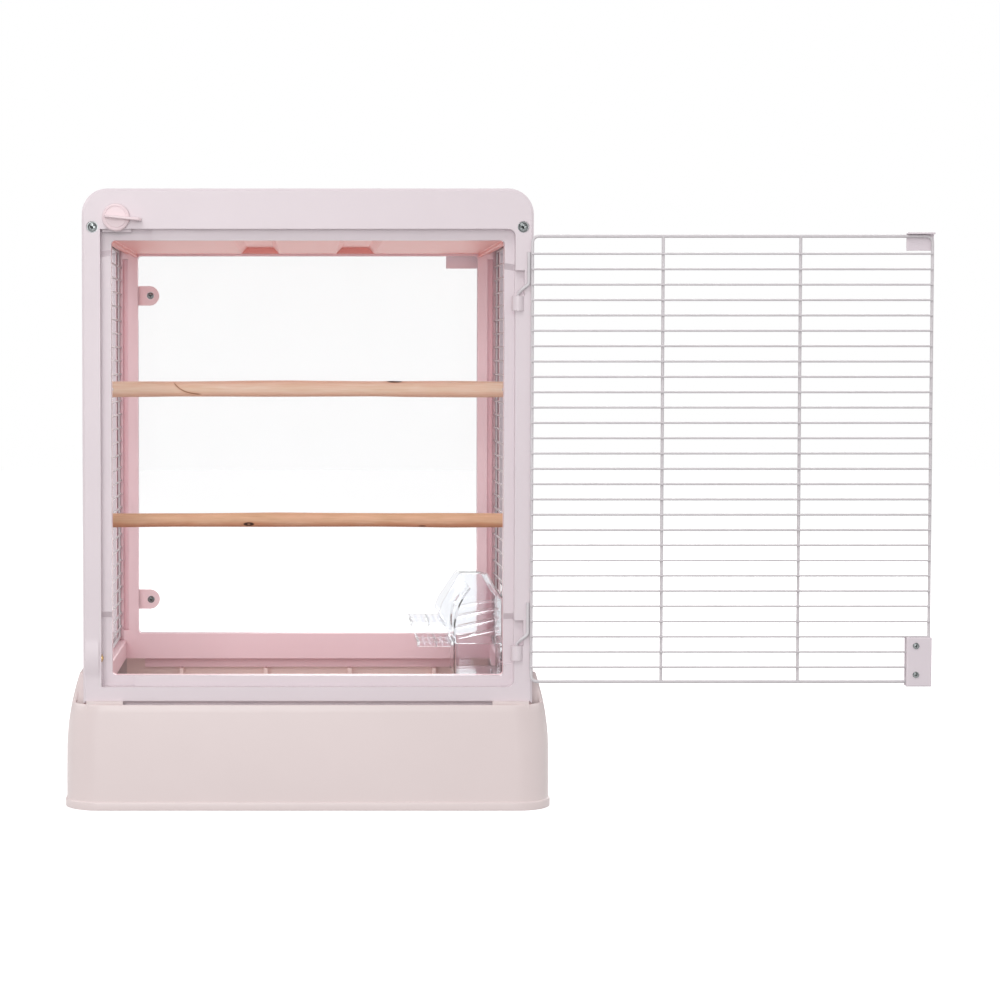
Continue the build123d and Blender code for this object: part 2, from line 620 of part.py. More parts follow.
def end_frame():
    frame = frame_outline(FRAME_THICK) + catch_swell()
    frame -= rounded_window(
        REBATE_HALF, REBATE_BOTTOM, REBATE_TOP, FRONT_Y - CATCH_SWELL, REBATE_Y, REBATE_ROUND
    )
    frame -= rounded_window(
        OPENING_HALF, OPENING_BOTTOM, OPENING_TOP, FRONT_Y, FRAME_BACK_Y, OPENING_ROUND
    )
    frame -= sloped_pocket(
        -REBATE_HALF, -OPENING_HALF, REBATE_TOP - CLIP_POCKET_HEIGHT, REBATE_TOP, -POCKET_SLOPE
    )
    frame -= block(
        -REBATE_HALF, -REBATE_HALF + CLIP_POCKET_WIDTH, REBATE_Y, POCKET_Y,
        OPENING_TOP - OPENING_ROUND, REBATE_TOP,
    )
    frame -= sloped_pocket(
        -REBATE_HALF, -OPENING_HALF, REBATE_BOTTOM, REBATE_BOTTOM + CATCH_POCKET_HEIGHT, POCKET_SLOPE
    )
    frame -= block(
        -REBATE_HALF, -REBATE_HALF + CATCH_POCKET_WIDTH, REBATE_Y, POCKET_Y,
        REBATE_BOTTOM, OPENING_BOTTOM + OPENING_ROUND,
    )
    for bottom in SOCKET_BOTTOMS:
        cut, socket, bore = hinge_seat(bottom)
        frame = frame - cut + socket - bore
    frame -= frame_screw_holes()
    frame -= top_hollow()
    frame -= rod((KNOB_X, FRONT_Y, KNOB_Z), (KNOB_X, KNOB_WALL_Y, KNOB_Z), KNOB_SHAFT_RADIUS + PIN_PLAY)
    frame -= block(
        KNOB_X - KNOB_POCKET_HALF, KNOB_X + KNOB_POCKET_HALF, KNOB_WALL_Y, FRAME_BACK_Y,
        KNOB_Z - KNOB_POCKET_HALF, KNOB_Z + KNOB_POCKET_HALF,
    )
    for side in (-1, 1):
        x = side * GROOVE_X
        frame -= block(
            x - GROOVE_HALF, x + GROOVE_HALF, FRAME_BACK_Y - GROOVE_DEPTH, FRAME_BACK_Y,
            FRAME_BOTTOM, PANEL_TOP_Z + FRAME_WIRE_RADIUS + SEAT_GAP,
        )
    frame -= flatted(
        (-REBATE_HALF, CATCH_Y, CATCH_Z), (-REBATE_HALF - SLEEVE_LENGTH, CATCH_Y, CATCH_Z),
        SLEEVE_RADIUS + WELD_GAP,
    )
    skirt_half = HALF_WIDTH - SKIRT_SIDE_INSET
    return frame + block(
        -skirt_half, skirt_half, SKIRT_Y, SKIRT_Y + SKIRT_THICK, FRAME_BOTTOM - SKIRT_HEIGHT, FRAME_BOTTOM
    )


def frame_screws():
    return [
        screw_along_y(
            x, FRAME_SCREW_Z, FRONT_Y + FRAME_SCREW_SINK, FRAME_BACK_Y + FRAME_SCREW_BITE,
            FRAME_SCREW_RADIUS, FRAME_SCREW_HEAD_RADIUS, FRAME_SCREW_HEAD_HEIGHT,
        )
        for x in (-FRAME_SCREW_X, FRAME_SCREW_X)
    ]


# Turn knob and ball catch

def lock_knob():
    """Disc with a ring groove, a lever fin across it and the shaft that turns in the frame."""
    face_y = LEVER_Y - KNOB_DISC
    groove_y = face_y + KNOB_RING_DEPTH
    axis = (KNOB_X, face_y, KNOB_Z)
    disc = flatted(axis, (KNOB_X, LEVER_Y, KNOB_Z), KNOB_RADIUS, KNOB_FLATS)
    disc = chamfer(disc.faces().sort_by(Axis.Y)[0].edges(), KNOB_BEVEL)
    ring = KNOB_RADIUS - 2 * KNOB_RING_WIDTH
    groove = flatted(axis, (KNOB_X, groove_y, KNOB_Z), ring, KNOB_FLATS)
    groove -= flatted(axis, (KNOB_X, groove_y, KNOB_Z), ring - KNOB_RING_WIDTH, KNOB_FLATS)
    fin = block(
        -LEVER_TAIL, LEVER_REACH, face_y - LEVER_PROUD, LEVER_Y, -LEVER_THICK / 2, LEVER_THICK / 2
    )
    fin = chamfer(fin.edges().filter_by(Axis.Z).group_by(Axis.Y)[0], LEVER_TIP_CUT)
    fin = Pos(KNOB_X, 0, KNOB_Z) * Rot(0, KNOB_REST_TILT, 0) * fin
    shaft = rod((KNOB_X, LEVER_Y, KNOB_Z), (KNOB_X, KNOB_SHAFT_END, KNOB_Z), KNOB_SHAFT_RADIUS)
    bite = flatted(
        (KNOB_X, KNOB_SHAFT_END, KNOB_Z), (KNOB_X, KNOB_SHAFT_END - KNOB_SCREW_BITE, KNOB_Z),
        KNOB_SCREW_RADIUS,
    )
    return disc - groove + fin + shaft - bite


def knob_washer():
    ends = (KNOB_X, KNOB_SHAFT_END, KNOB_Z), (KNOB_X, KNOB_SHAFT_END + KNOB_WASHER_THICK, KNOB_Z)
    return flatted(*ends, KNOB_WASHER_RADIUS) - flatted(*ends, KNOB_SCREW_RADIUS)


def knob_screw():
    """Driven from behind into the knob's shaft."""
    return screw_along_y(
        KNOB_X, KNOB_Z, KNOB_SHAFT_END + KNOB_WASHER_THICK, KNOB_SHAFT_END - KNOB_SCREW_BITE,
        KNOB_SCREW_RADIUS, KNOB_SCREW_HEAD_RADIUS, KNOB_SCREW_HEAD_HEIGHT,
    )


def catch_sleeve():
    """Brass tube pressed into the side wall of the rebate."""
    mouth = (-REBATE_HALF + SLEEVE_PROUD, CATCH_Y, CATCH_Z)
    tube = flatted((SLEEVE_END_X, CATCH_Y, CATCH_Z), mouth, SLEEVE_RADIUS)
    return tube - flatted((SLEEVE_END_X + SLEEVE_WALL, CATCH_Y, CATCH_Z), mouth, BALL_RADIUS + BALL_PLAY)


def catch_ball():
    """Sprung plunger with a blunt nose, its tail clear of the sleeve's end by its travel."""
    nose = (-REBATE_HALF + BALL_PROUD, CATCH_Y, CATCH_Z)
    tail = (SLEEVE_END_X + SLEEVE_WALL + SEAT_GAP + BALL_TRAVEL, CATCH_Y, CATCH_Z)
    plunger = flatted(tail, nose, BALL_RADIUS)
    return chamfer(plunger.faces().sort_by(Axis.X)[-1].edges(), BALL_BEVEL)


# Roof, ceiling, sills and side panels

def cap_shape(inset):
    """The roof's outline, moved in by inset, with its rounded shoulders."""
    half = HALF_WIDTH - ROOF_INSET - inset
    top = CAGE_TOP - ROOF_INSET - inset
    points = [(-half, ROOF_SIDE_BOTTOM), (half, ROOF_SIDE_BOTTOM), (half, top), (-half, top)]
    shape = outline_xz(points, -SPAN_HALF, SPAN_HALF)
    shoulders = shape.edges().filter_by(Axis.Y).group_by(Axis.Z)[-1]
    return fillet(shoulders, FRAME_CORNER - ROOF_INSET - inset)


def roof_cap():
    """Moulded roof with a square boss in each corner for the frame screws."""
    outer = cap_shape(0)
    cap = outer - cap_shape(ROOF_WALL)
    bores = Part()
    for side in (-1, 1):
        x = side * FRAME_SCREW_X
        inner, wall = sorted((side * (FRAME_SCREW_X - BOSS_HALF), side * HALF_WIDTH))
        for end in (-1, 1):
            near, far = sorted((end * SPAN_HALF, end * (SPAN_HALF - BOSS_LENGTH)))
            boss = block(inner, wall, near, far, FRAME_SCREW_Z - BOSS_HALF, FRAME_SCREW_Z + BOSS_HALF)
            cap += boss & outer
            start = (x, end * SPAN_HALF, FRAME_SCREW_Z)
            depth = end * (SPAN_HALF - FRAME_SCREW_BITE - SEAT_GAP)
            bores += flatted(start, (x, depth, FRAME_SCREW_Z), FRAME_SCREW_RADIUS)
    return cap - bores


def ceiling_profile(offset):
    """Half of the ceiling's cross section from the middle out, moved up by offset."""
    z = CEILING_UNDERSIDE + offset
    return [
        (CEILING_CHANNEL_X - CEILING_CHANNEL_BOTTOM / 2, z),
        (CEILING_CHANNEL_X - CEILING_CHANNEL_TOP / 2, z + CEILING_CHANNEL_RISE),
        (CEILING_CHANNEL_X + CEILING_CHANNEL_TOP / 2, z + CEILING_CHANNEL_RISE),
        (CEILING_CHANNEL_X + CEILING_CHANNEL_BOTTOM / 2, z),
        (CEILING_HALF, z),
    ]


def ceiling_panel():
    under = ceiling_profile(0)
    over = ceiling_profile(CEILING_THICK)
    half = under + over[::-1]
    points = half + [(-x, z) for x, z in over] + [(-x, z) for x, z in under[::-1]]
    panel = outline_xz(points, -SPAN_HALF, SPAN_HALF)
    for side in (-1, 1):
        stop = [(side * x, z) for x, z in under[:CHANNEL_POINTS]]
        panel += outline_xz(stop, SPAN_HALF - CEILING_THICK, SPAN_HALF)
        rib_x = side * (CEILING_HALF - CEILING_RIB_IN)
        panel += block(
            rib_x - CEILING_RIB / 2, rib_x + CEILING_RIB / 2, -SPAN_HALF, SPAN_HALF,
            CEILING_UNDERSIDE - CEILING_RIB_DROP, CEILING_UNDERSIDE,
        )
        edge = side * CEILING_HALF
        low, high = sorted((edge, edge - side * CEILING_THICK))
        panel += block(
            low, high, -SPAN_HALF, SPAN_HALF, CEILING_UNDERSIDE, FRAME_SCREW_Z + BOSS_HALF
        )
    return panel


def side_sill(side):
    x = side * GROOVE_X
    body = block(
        x - SILL_HALF_WIDTH, x + SILL_HALF_WIDTH, -SPAN_HALF, SPAN_HALF, FRAME_BOTTOM, SILL_TOP
    )
    body = fillet(body.edges().filter_by(Axis.Y).group_by(Axis.Z)[-1], SILL_ROUND)
    reach = SPAN_HALF + SILL_TONGUE_DEPTH
    tongue_half = GROOVE_HALF - SEAT_GAP
    tongue = block(
        x - tongue_half, x + tongue_half, -reach, reach, FRAME_BOTTOM, SILL_TOP - SILL_ROUND
    )
    return body + tongue


def side_wire_panel(side):
    x = side * PANEL_LOOP_X
    corners = [
        (x, -PANEL_LOOP_Y, PANEL_BOTTOM_Z),
        (x, PANEL_LOOP_Y, PANEL_BOTTOM_Z),
        (x, PANEL_LOOP_Y, PANEL_TOP_Z),
        (x, -PANEL_LOOP_Y, PANEL_TOP_Z),
    ]
    uprights = [
        ((x, y, PANEL_BOTTOM_Z), (x, y, PANEL_TOP_Z)) for y in (-PANEL_UPRIGHT_Y, PANEL_UPRIGHT_Y)
    ]
    plane_x = side * PANEL_PLANE
    wires = [((plane_x, -PANEL_LOOP_Y, z), (plane_x, PANEL_LOOP_Y, z)) for z in WIRE_ZS]
    return welded_grid(corners, uprights, wires, FRAME_WIRE_RADIUS, PANEL_CORNER, (1, 0, 0))


# Wire front door, open

def door_wire_grid():
    corners = [
        (DOOR_NEAR_X, DOOR_Y, DOOR_BOTTOM_Z),
        (DOOR_FAR_X, DOOR_Y, DOOR_BOTTOM_Z),
        (DOOR_FAR_X, DOOR_Y, DOOR_TOP_Z),
        (DOOR_NEAR_X, DOOR_Y, DOOR_TOP_Z),
    ]
    places = (DOOR_NEAR_X + DOOR_BAYS[0], DOOR_NEAR_X + sum(DOOR_BAYS))
    uprights = [((x, DOOR_Y, DOOR_BOTTOM_Z), (x, DOOR_Y, DOOR_TOP_Z)) for x in places]
    wires = [((DOOR_NEAR_X, DOOR_WIRE_Y, z), (DOOR_FAR_X, DOOR_WIRE_Y, z)) for z in WIRE_ZS]
    return welded_grid(corners, uprights, wires, DOOR_WIRE_RADIUS, DOOR_CORNER, (0, 1, 0))


def hinge_rod(socket_bottom):
    """Wire welded beside the door's edge, stepped over and down into the socket."""
    run_x = DOOR_NEAR_X - DOOR_WIRE_RADIUS - PIN_RADIUS - WELD_GAP
    shoulder_z = socket_bottom + SOCKET_HEIGHT + SEAT_GAP
    knee_z = shoulder_z + PIN_RADIUS
    pin_bottom = socket_bottom + SOCKET_FLOOR + SEAT_GAP
    pin = rod((HINGE_X, HINGE_Y, pin_bottom), (HINGE_X, HINGE_Y, shoulder_z), PIN_RADIUS)
    path = Polyline(
        (HINGE_X, HINGE_Y, shoulder_z),
        (HINGE_X, HINGE_Y, knee_z),
        (HINGE_X + ROD_KNEE, DOOR_Y, knee_z + ROD_STEP),
        (run_x, DOOR_Y, knee_z + 2 * ROD_STEP),
        (run_x, DOOR_Y, knee_z + 2 * ROD_STEP + ROD_RUN),
    )
    plane = Plane(origin=path @ 0, z_dir=path % 0)
    section = RegularPolygon(PIN_RADIUS, ROD_FLATS, major_radius=False)
    return sweep(plane * section, path=path, transition=Transition.RIGHT) + pin


def door_corner_clip():
    """Folded strip behind the free top corner, with a flange over the top wire."""
    left = PLATE_RIGHT - CLIP_LENGTH
    near = PLATE_BACK_Y
    back = near + CLIP_SHEET
    top = DOOR_TOP_Z + DOOR_WIRE_RADIUS + WELD_GAP
    sheet = block(left, PLATE_RIGHT, near, back, DOOR_TOP_Z - CLIP_DROP, top + CLIP_SHEET)
    flange = block(left, PLATE_RIGHT, back - CLIP_FLANGE, back, top, top + CLIP_SHEET)
    return sheet + flange


def catch_plate(y0, outward):
    """One half of the plate pair at the free lower corner, bevelled on its outward side."""
    low, high = sorted((y0, y0 + outward * CATCH_PLATE_THICK))
    plate = block(PLATE_RIGHT - CATCH_PLATE_LENGTH, PLATE_RIGHT, low, high, PLATE_BOTTOM, PLATE_TOP)
    outer = plate.faces().sort_by(Axis.Y)[0 if outward < 0 else -1]
    plate = chamfer(outer.edges(), CATCH_PLATE_BEVEL)
    for z in PLATE_SCREW_ZS:
        plate -= flatted((PLATE_SCREW_X, low, z), (PLATE_SCREW_X, high, z), PLATE_SCREW_RADIUS)
    return plate


def plate_screws():
    return [
        screw_along_y(
            PLATE_SCREW_X, z, PLATE_FRONT_Y - CATCH_PLATE_THICK, PLATE_BACK_Y + CATCH_PLATE_THICK,
            PLATE_SCREW_RADIUS, PLATE_SCREW_HEAD_RADIUS, PLATE_SCREW_HEAD_HEIGHT,
        )
        for z in PLATE_SCREW_ZS
    ]


# Clear rear door, drawn closed in the front frame and turned to the rear

def tab_screw_places():
    x = HINGE_X - TAB_REACH + TAB_SCREW_IN
    return [(x, bottom + SOCKET_HEIGHT + TAB_ABOVE_SOCKET) for bottom in SOCKET_BOTTOMS]


def clear_panel():
    left = -REBATE_HALF + CLEAR_FREE_GAP
    right = REBATE_HALF - CLEAR_HINGE_GAP
    bottom = REBATE_BOTTOM + CLEAR_BOTTOM_GAP
    top = REBATE_TOP - CLEAR_TOP_GAP
    sheet = block(left, right, CLEAR_FACE_Y, CLEAR_Y, bottom, top)
    sheet = fillet(sheet.edges().filter_by(Axis.Y), CLEAR_ROUND)
    for x, z in tab_screw_places():
        sheet -= flatted((x, CLEAR_FACE_Y, z), (x, CLEAR_Y, z), TAB_SCREW_RADIUS)
    return sheet


def rear_hinge(socket_bottom):
    """D-shaped tab inside the panel, an arm round the panel's edge, and a pin in the socket."""
    top = socket_bottom + SOCKET_HEIGHT
    middle = top + TAB_ABOVE_SOCKET
    edge = REBATE_HALF - CLEAR_HINGE_GAP + SHEET_GAP
    round_x = HINGE_X - TAB_REACH + TAB_HEIGHT / 2
    tab_end = TAB_Y + TAB_THICK
    tab = block(round_x, edge, TAB_Y, tab_end, middle - TAB_HEIGHT / 2, middle + TAB_HEIGHT / 2)
    tab += flatted((round_x, TAB_Y, middle), (round_x, tab_end, middle), TAB_HEIGHT / 2, SOCKET_FLATS)
    low = top + KNUCKLE_GAP
    high = low + KNUCKLE_HEIGHT
    tab += block(edge, REBATE_HALF - SEAT_GAP, HINGE_Y, tab_end, low, high)
    tab += flatted((HINGE_X, HINGE_Y, low), (HINGE_X, HINGE_Y, high), KNUCKLE_RADIUS)
    pin_bottom = socket_bottom + SOCKET_FLOOR + SEAT_GAP
    tab += rod((HINGE_X, HINGE_Y, pin_bottom), (HINGE_X, HINGE_Y, low), PIN_RADIUS)
    for x, z in tab_screw_places():
        tab -= flatted((x, TAB_Y, z), (x, tab_end, z), TAB_SCREW_RADIUS)
    return tab


def rear_hinge_screws():
    """Their heads face into the cage."""
    return [
        screw_along_y(
            x, z, TAB_Y + TAB_THICK, CLEAR_FACE_Y,
            TAB_SCREW_RADIUS, TAB_SCREW_HEAD_RADIUS, TAB_SCREW_HEAD_HEIGHT,
        )
        for x, z in tab_screw_places()
    ]


def clear_door_clip():
    """Block on the outside of the free top corner that the knob's lever holds down."""
    left = -REBATE_HALF + CLEAR_CLIP_LEFT
    face = CLEAR_FACE_Y - WELD_GAP
    top = REBATE_TOP - CLEAR_CLIP_TOP_GAP
    clip = block(
        left, left + CLEAR_CLIP_LENGTH, face - CLEAR_CLIP_THICK, face, top - CLEAR_CLIP_HEIGHT, top
    )
    return chamfer(clip.faces().sort_by(Axis.Y)[0].edges(), CLEAR_CLIP_BEVEL)


# Perches

def perch(wires_below, y, radius, hang):
    """Natural stick of uneven thickness and slight bow, slotted at both ends onto a side wire."""
    wire_z = WIRE_ZS[wires_below]
    reach = PANEL_PLANE + PERCH_OVERHANG
    sections = [
        Plane(origin=(share * reach, y, wire_z - hang + lift), z_dir=(1, 0, 0))
        * RegularPolygon(radius * swell, TURNED_FLATS, major_radius=False)
        for share, swell, lift in PERCH_STATIONS
    ]
    stick = loft(sections, ruled=True)
    kerf_half = WIRE_RADIUS + PERCH_KERF_PLAY
    for side in (-1, 1):
        inner, outer = sorted((side * (reach - PERCH_KERF_DEPTH), side * (reach + radius)))
        stick -= block(inner, outer, y - 2 * radius, y + 2 * radius, wire_z - kerf_half, wire_z + kerf_half)
    return stick


# Clear feeder, drawn about its own zero

def cup_block(inset, bottom):
    """The cup's rounded box, its walls moved in by inset."""
    middle = (FEEDER_FRONT_X + FEEDER_BACK_X) / 2
    length = FEEDER_BACK_X - FEEDER_FRONT_X - 2 * inset
    section = RectangleRounded(length, 2 * (FEEDER_HALF - inset), CUP_ROUND - inset)
    return extrude(Pos(middle, 0, bottom) * section, amount=CUP_HEIGHT - bottom)


def feeder_cup():
    return cup_block(0, 0) - cup_block(FEEDER_WALL, FEEDER_WALL)


def hood_points(back_wall, roof):
    """Side view of the hood, with its back and its roof this far in."""
    bottom = CUP_HEIGHT + HOOD_GAP
    shoulder_x, shoulder_z = HOOD_SHOULDER
    return [
        (FEEDER_FRONT_X, bottom),
        (FEEDER_BACK_X - back_wall, bottom),
        (FEEDER_BACK_X - back_wall, shoulder_z - roof),
        (shoulder_x - back_wall, HOOD_TOP - roof),
        (HOOD_FRONT_TOP_X, HOOD_TOP - roof),
        HOOD_CHEEK,
        HOOD_NOSE,
    ]


def feeder_hood():
    """Two cheeks joined by a back and a roof, open to the front and below."""
    hood = outline_xz(hood_points(0, 0), -FEEDER_HALF, FEEDER_HALF)
    inner = FEEDER_HALF - FEEDER_WALL
    hood -= outline_xz(hood_points(FEEDER_WALL, FEEDER_WALL), -inner, inner)
    hood -= block(
        HOOD_NOSE[0] - FEEDER_WALL, HOOD_FRONT_TOP_X, -inner, inner, CUP_HEIGHT, HOOD_TOP
    )
    middle = (FEEDER_BACK_X + FEEDER_FRONT_X) / 2
    length = FEEDER_BACK_X - FEEDER_FRONT_X - HOOD_RIB_END
    for number in range(HOOD_RIB_COUNT):
        z = CUP_HEIGHT + HOOD_RIB_PITCH * (number + 1)
        for side in (-1, 1):
            bar = Box(length, FEEDER_WALL + HOOD_RIB_PROUD, HOOD_RIB_WIDTH)
            y = side * (inner + FEEDER_HALF + HOOD_RIB_PROUD) / 2
            hood += Pos(middle, y, z) * Rot(0, -HOOD_RIB_TILT, 0) * bar
    return hood


def feeder_guard():
    """Curved splash guard behind the opening, in flat facets, with a window for the head."""
    curve = ThreePointArc(*[(x, 0, z) for x, z in GUARD_CURVE])
    path = Polyline(*[curve @ (number / GUARD_FOLDS) for number in range(GUARD_FOLDS + 1)])
    width = 2 * (FEEDER_HALF - FEEDER_WALL - GUARD_SIDE_GAP)
    plane = Plane(origin=path @ 0, x_dir=(0, 1, 0), z_dir=path % 0)
    sheet = sweep(plane * Rectangle(width, GUARD_WALL), path=path, transition=Transition.RIGHT)
    window = block(
        HOOD_NOSE[0], FEEDER_BACK_X, -GUARD_WINDOW_HALF, GUARD_WINDOW_HALF,
        GUARD_WINDOW_BOTTOM, GUARD_WINDOW_TOP,
    )
    window = chamfer(window.edges().filter_by(Axis.X), GUARD_WINDOW_CUT)
    return sheet - window


def feeder_step(near_x, far_x, bottom):
    """Flat lattice that the bird stands on."""
    top = bottom + STEP_THICK
    half = FEEDER_HALF - FEEDER_WALL - SEAT_GAP
    step = Part()
    for number in range(STEP_LONG_BARS):
        x = near_x + number * (far_x - near_x - STEP_BAR) / (STEP_LONG_BARS - 1)
        step += block(x, x + STEP_BAR, -half, half, bottom, top)
    for number in range(STEP_CROSS_BARS):
        y = -half + number * (2 * half - STEP_BAR) / (STEP_CROSS_BARS - 1)
        step += block(near_x, far_x, y, y + STEP_BAR, bottom, top)
    return step


def feeder_hook():
    """Back plate with hooks that drop over two side wires."""
    front = FEEDER_BACK_X + HOOK_PLAY / 2
    back = front + HOOK_THICK
    outer = WIRE_RADIUS + HOOK_PLAY
    ups = (HOOK_WIRE_UP, HOOK_WIRE_UP + HOOK_SPREAD)
    high = ups[1] + WIRE_RADIUS + HOOK_PLAY + HOOK_THICK
    hook = block(front, back, -HOOK_HALF, HOOK_HALF, ups[0] - HOOK_DROP, high)
    for up in ups:
        under = up + WIRE_RADIUS + HOOK_PLAY
        for y in (-HOOK_HALF, HOOK_HALF - HOOK_WIDTH):
            hook += block(back, outer + HOOK_THICK, y, y + HOOK_WIDTH, under, under + HOOK_THICK)
            hook += block(outer, outer + HOOK_THICK, y, y + HOOK_WIDTH, under - HOOK_DROP, under)
    return hook


def main():
    frame = end_frame()
    screws = frame_screws()
    knob, washer, axle_screw = lock_knob(), knob_washer(), knob_screw()
    sleeve, ball = catch_sleeve(), catch_ball()
    hung = Pos(*FEEDER_PLACE)
    nodes = {
        "base_tub": [base_tub()],
        "floor_grate": [floor_grate()],
        "front_frame": [frame],
        "back_frame": [turned(frame)],
        "roof_cap": [roof_cap()],
        "ceiling_panel": [ceiling_panel()],
        "left_sill": [side_sill(-1)],
        "right_sill": [side_sill(1)],
        "left_wire_panel": [side_wire_panel(-1)],
        "right_wire_panel": [side_wire_panel(1)],
        "front_frame_screws": screws,
        "back_frame_screws": [turned(screw) for screw in screws],
        "front_lock_knob": [knob],
        "front_knob_washer": [washer],
        "front_knob_screw": [axle_screw],
        "back_lock_knob": [turned(knob)],
        "back_knob_washer": [turned(washer)],
        "back_knob_screw": [turned(axle_screw)],
        "front_catch_sleeve": [sleeve],
        "back_catch_sleeve": [turned(sleeve)],
        "front_catch_ball": [ball],
        "back_catch_ball": [turned(ball)],
        "door_wire_grid": [door_wire_grid()],
        "door_hinge_rod_lower": [hinge_rod(SOCKET_BOTTOMS[0])],
        "door_hinge_rod_upper": [hinge_rod(SOCKET_BOTTOMS[1])],
        "door_corner_clip": [door_corner_clip()],
        "door_catch_plate_front": [catch_plate(PLATE_FRONT_Y, -1)],
        "door_catch_plate_back": [catch_plate(PLATE_BACK_Y, 1)],
        "door_plate_screws": plate_screws(),
        "rear_clear_panel": [turned(clear_panel())],
        "rear_hinge_lower": [turned(rear_hinge(SOCKET_BOTTOMS[0]))],
        "rear_hinge_upper": [turned(rear_hinge(SOCKET_BOTTOMS[1]))],
        "rear_hinge_screws": [turned(screw) for screw in rear_hinge_screws()],
        "rear_door_clip": [turned(clear_door_clip())],
        "upper_perch": [perch(UPPER_PERCH_WIRE_COUNT, *UPPER_PERCH)],
        "lower_perch": [perch(LOWER_PERCH_WIRE_COUNT, *LOWER_PERCH)],
        "feeder_cup": [hung * feeder_cup()],
        "feeder_hood": [hung * feeder_hood()],
        "feeder_guard": [hung * feeder_guard()],
        "feeder_step_upper": [hung * feeder_step(*UPPER_STEP)],
        "feeder_step_lower": [hung * feeder_step(*LOWER_STEP)],
        "feeder_hook": [hung * feeder_hook()],
    }
    os.makedirs("parts", exist_ok=True)
    for name, shapes in nodes.items():
        solids = [solid for shape in shapes for solid in shape.solids()]
        export_step(Compound(children=solids, label=name), f"parts/{name}.step")


main()
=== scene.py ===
# %% [markdown]
# # A bird cage with its door open
# The cage is a deep plastic tub, two moulded end frames, welded wire sides, a wire door, a clear
# rear door, two wooden sticks and a clear seed feeder. A CAD model already holds every piece at
# its real size, and this script dresses it: it loads that model as a fixed frame, replaces the
# pieces whose true shape is finer than the solids, and gives every surface its material. All
# lengths are in metres, with MM for the many small ones.

# %% Load the frame
import json
import math

import bmesh
import bpy
from mathutils import Euler, Matrix, Vector, noise


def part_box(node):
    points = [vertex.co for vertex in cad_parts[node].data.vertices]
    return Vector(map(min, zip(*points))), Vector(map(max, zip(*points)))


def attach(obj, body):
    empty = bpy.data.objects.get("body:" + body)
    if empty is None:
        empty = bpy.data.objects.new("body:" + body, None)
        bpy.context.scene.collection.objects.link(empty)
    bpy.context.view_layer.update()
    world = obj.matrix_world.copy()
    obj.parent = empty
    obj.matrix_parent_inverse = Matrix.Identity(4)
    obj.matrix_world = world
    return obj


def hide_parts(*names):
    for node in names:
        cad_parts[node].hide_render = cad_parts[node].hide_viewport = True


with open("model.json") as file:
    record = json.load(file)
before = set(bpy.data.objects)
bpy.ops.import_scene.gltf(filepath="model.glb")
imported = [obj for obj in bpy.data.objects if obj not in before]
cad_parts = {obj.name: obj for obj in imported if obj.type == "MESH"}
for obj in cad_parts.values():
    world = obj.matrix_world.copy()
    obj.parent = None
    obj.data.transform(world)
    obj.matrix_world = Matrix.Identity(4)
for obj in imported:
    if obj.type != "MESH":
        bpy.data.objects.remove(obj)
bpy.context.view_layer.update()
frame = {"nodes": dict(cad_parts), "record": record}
MM = 0.001
BODY_OF = {node: body for body, nodes in frame["record"]["behaviour"]["bodies"].items() for node in nodes}
SLOT_OF = {part["node"]: part["material_slot"] for part in frame["record"]["subparts"]}
SLOT_OF["rear_door_clip"] = "fitting_plastic"

# %% [markdown]
# ## The camera
# The photograph looks at the front frame square on, from a little over two metres away. Its
# vanishing point lies left of the middle of the picture, because the open door fills the right
# half, so the lens is shifted and the camera isn't turned. The uprights come together slightly
# towards the floor, which means that the camera tips down by a few degrees. One pixel is 0.82 mm
# at the front frame's face, and that gives the focal length.

# %% Camera
PICTURE_SIDE = 1000
EYE_DISTANCE = 2060 * MM
EYE_HEIGHT = 373 * MM
MM_PER_PIXEL = 0.82
TIP_DOWN = math.radians(2.3)
VANISH_X = 307.75
AXIS_Y = 457.0
SENSOR = 36.0

front_low, front_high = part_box("front_frame")
FACE_Y = -165 * MM
focal_pixels = EYE_DISTANCE / MM / MM_PER_PIXEL
lens = bpy.data.cameras.new("Camera")
lens.sensor_width = SENSOR
lens.lens = focal_pixels * SENSOR / PICTURE_SIDE
lens.shift_x = 0.5 - VANISH_X / PICTURE_SIDE
lens.shift_y = AXIS_Y / PICTURE_SIDE - 0.5
lens.clip_end = 100
camera = bpy.data.objects.new("Camera", lens)
camera.location = (0, FACE_Y - EYE_DISTANCE, EYE_HEIGHT)
camera.rotation_euler = (math.pi / 2 - TIP_DOWN, 0, 0)
bpy.context.scene.collection.objects.link(camera)
bpy.context.scene.camera = camera
print("camera: lens %.1f mm, shift %.3f, %.3f" % (lens.lens, lens.shift_x, lens.shift_y))

# %% [markdown]
# ## A small language for node trees
# Shaders and Geometry Nodes are graphs, and long lists of node and link calls are hard to read.
# Here one class wraps an output socket and overloads Python's operators, so that a formula in the
# script adds its Math nodes by itself. A second class wraps the tree, and its one method adds any
# other node.

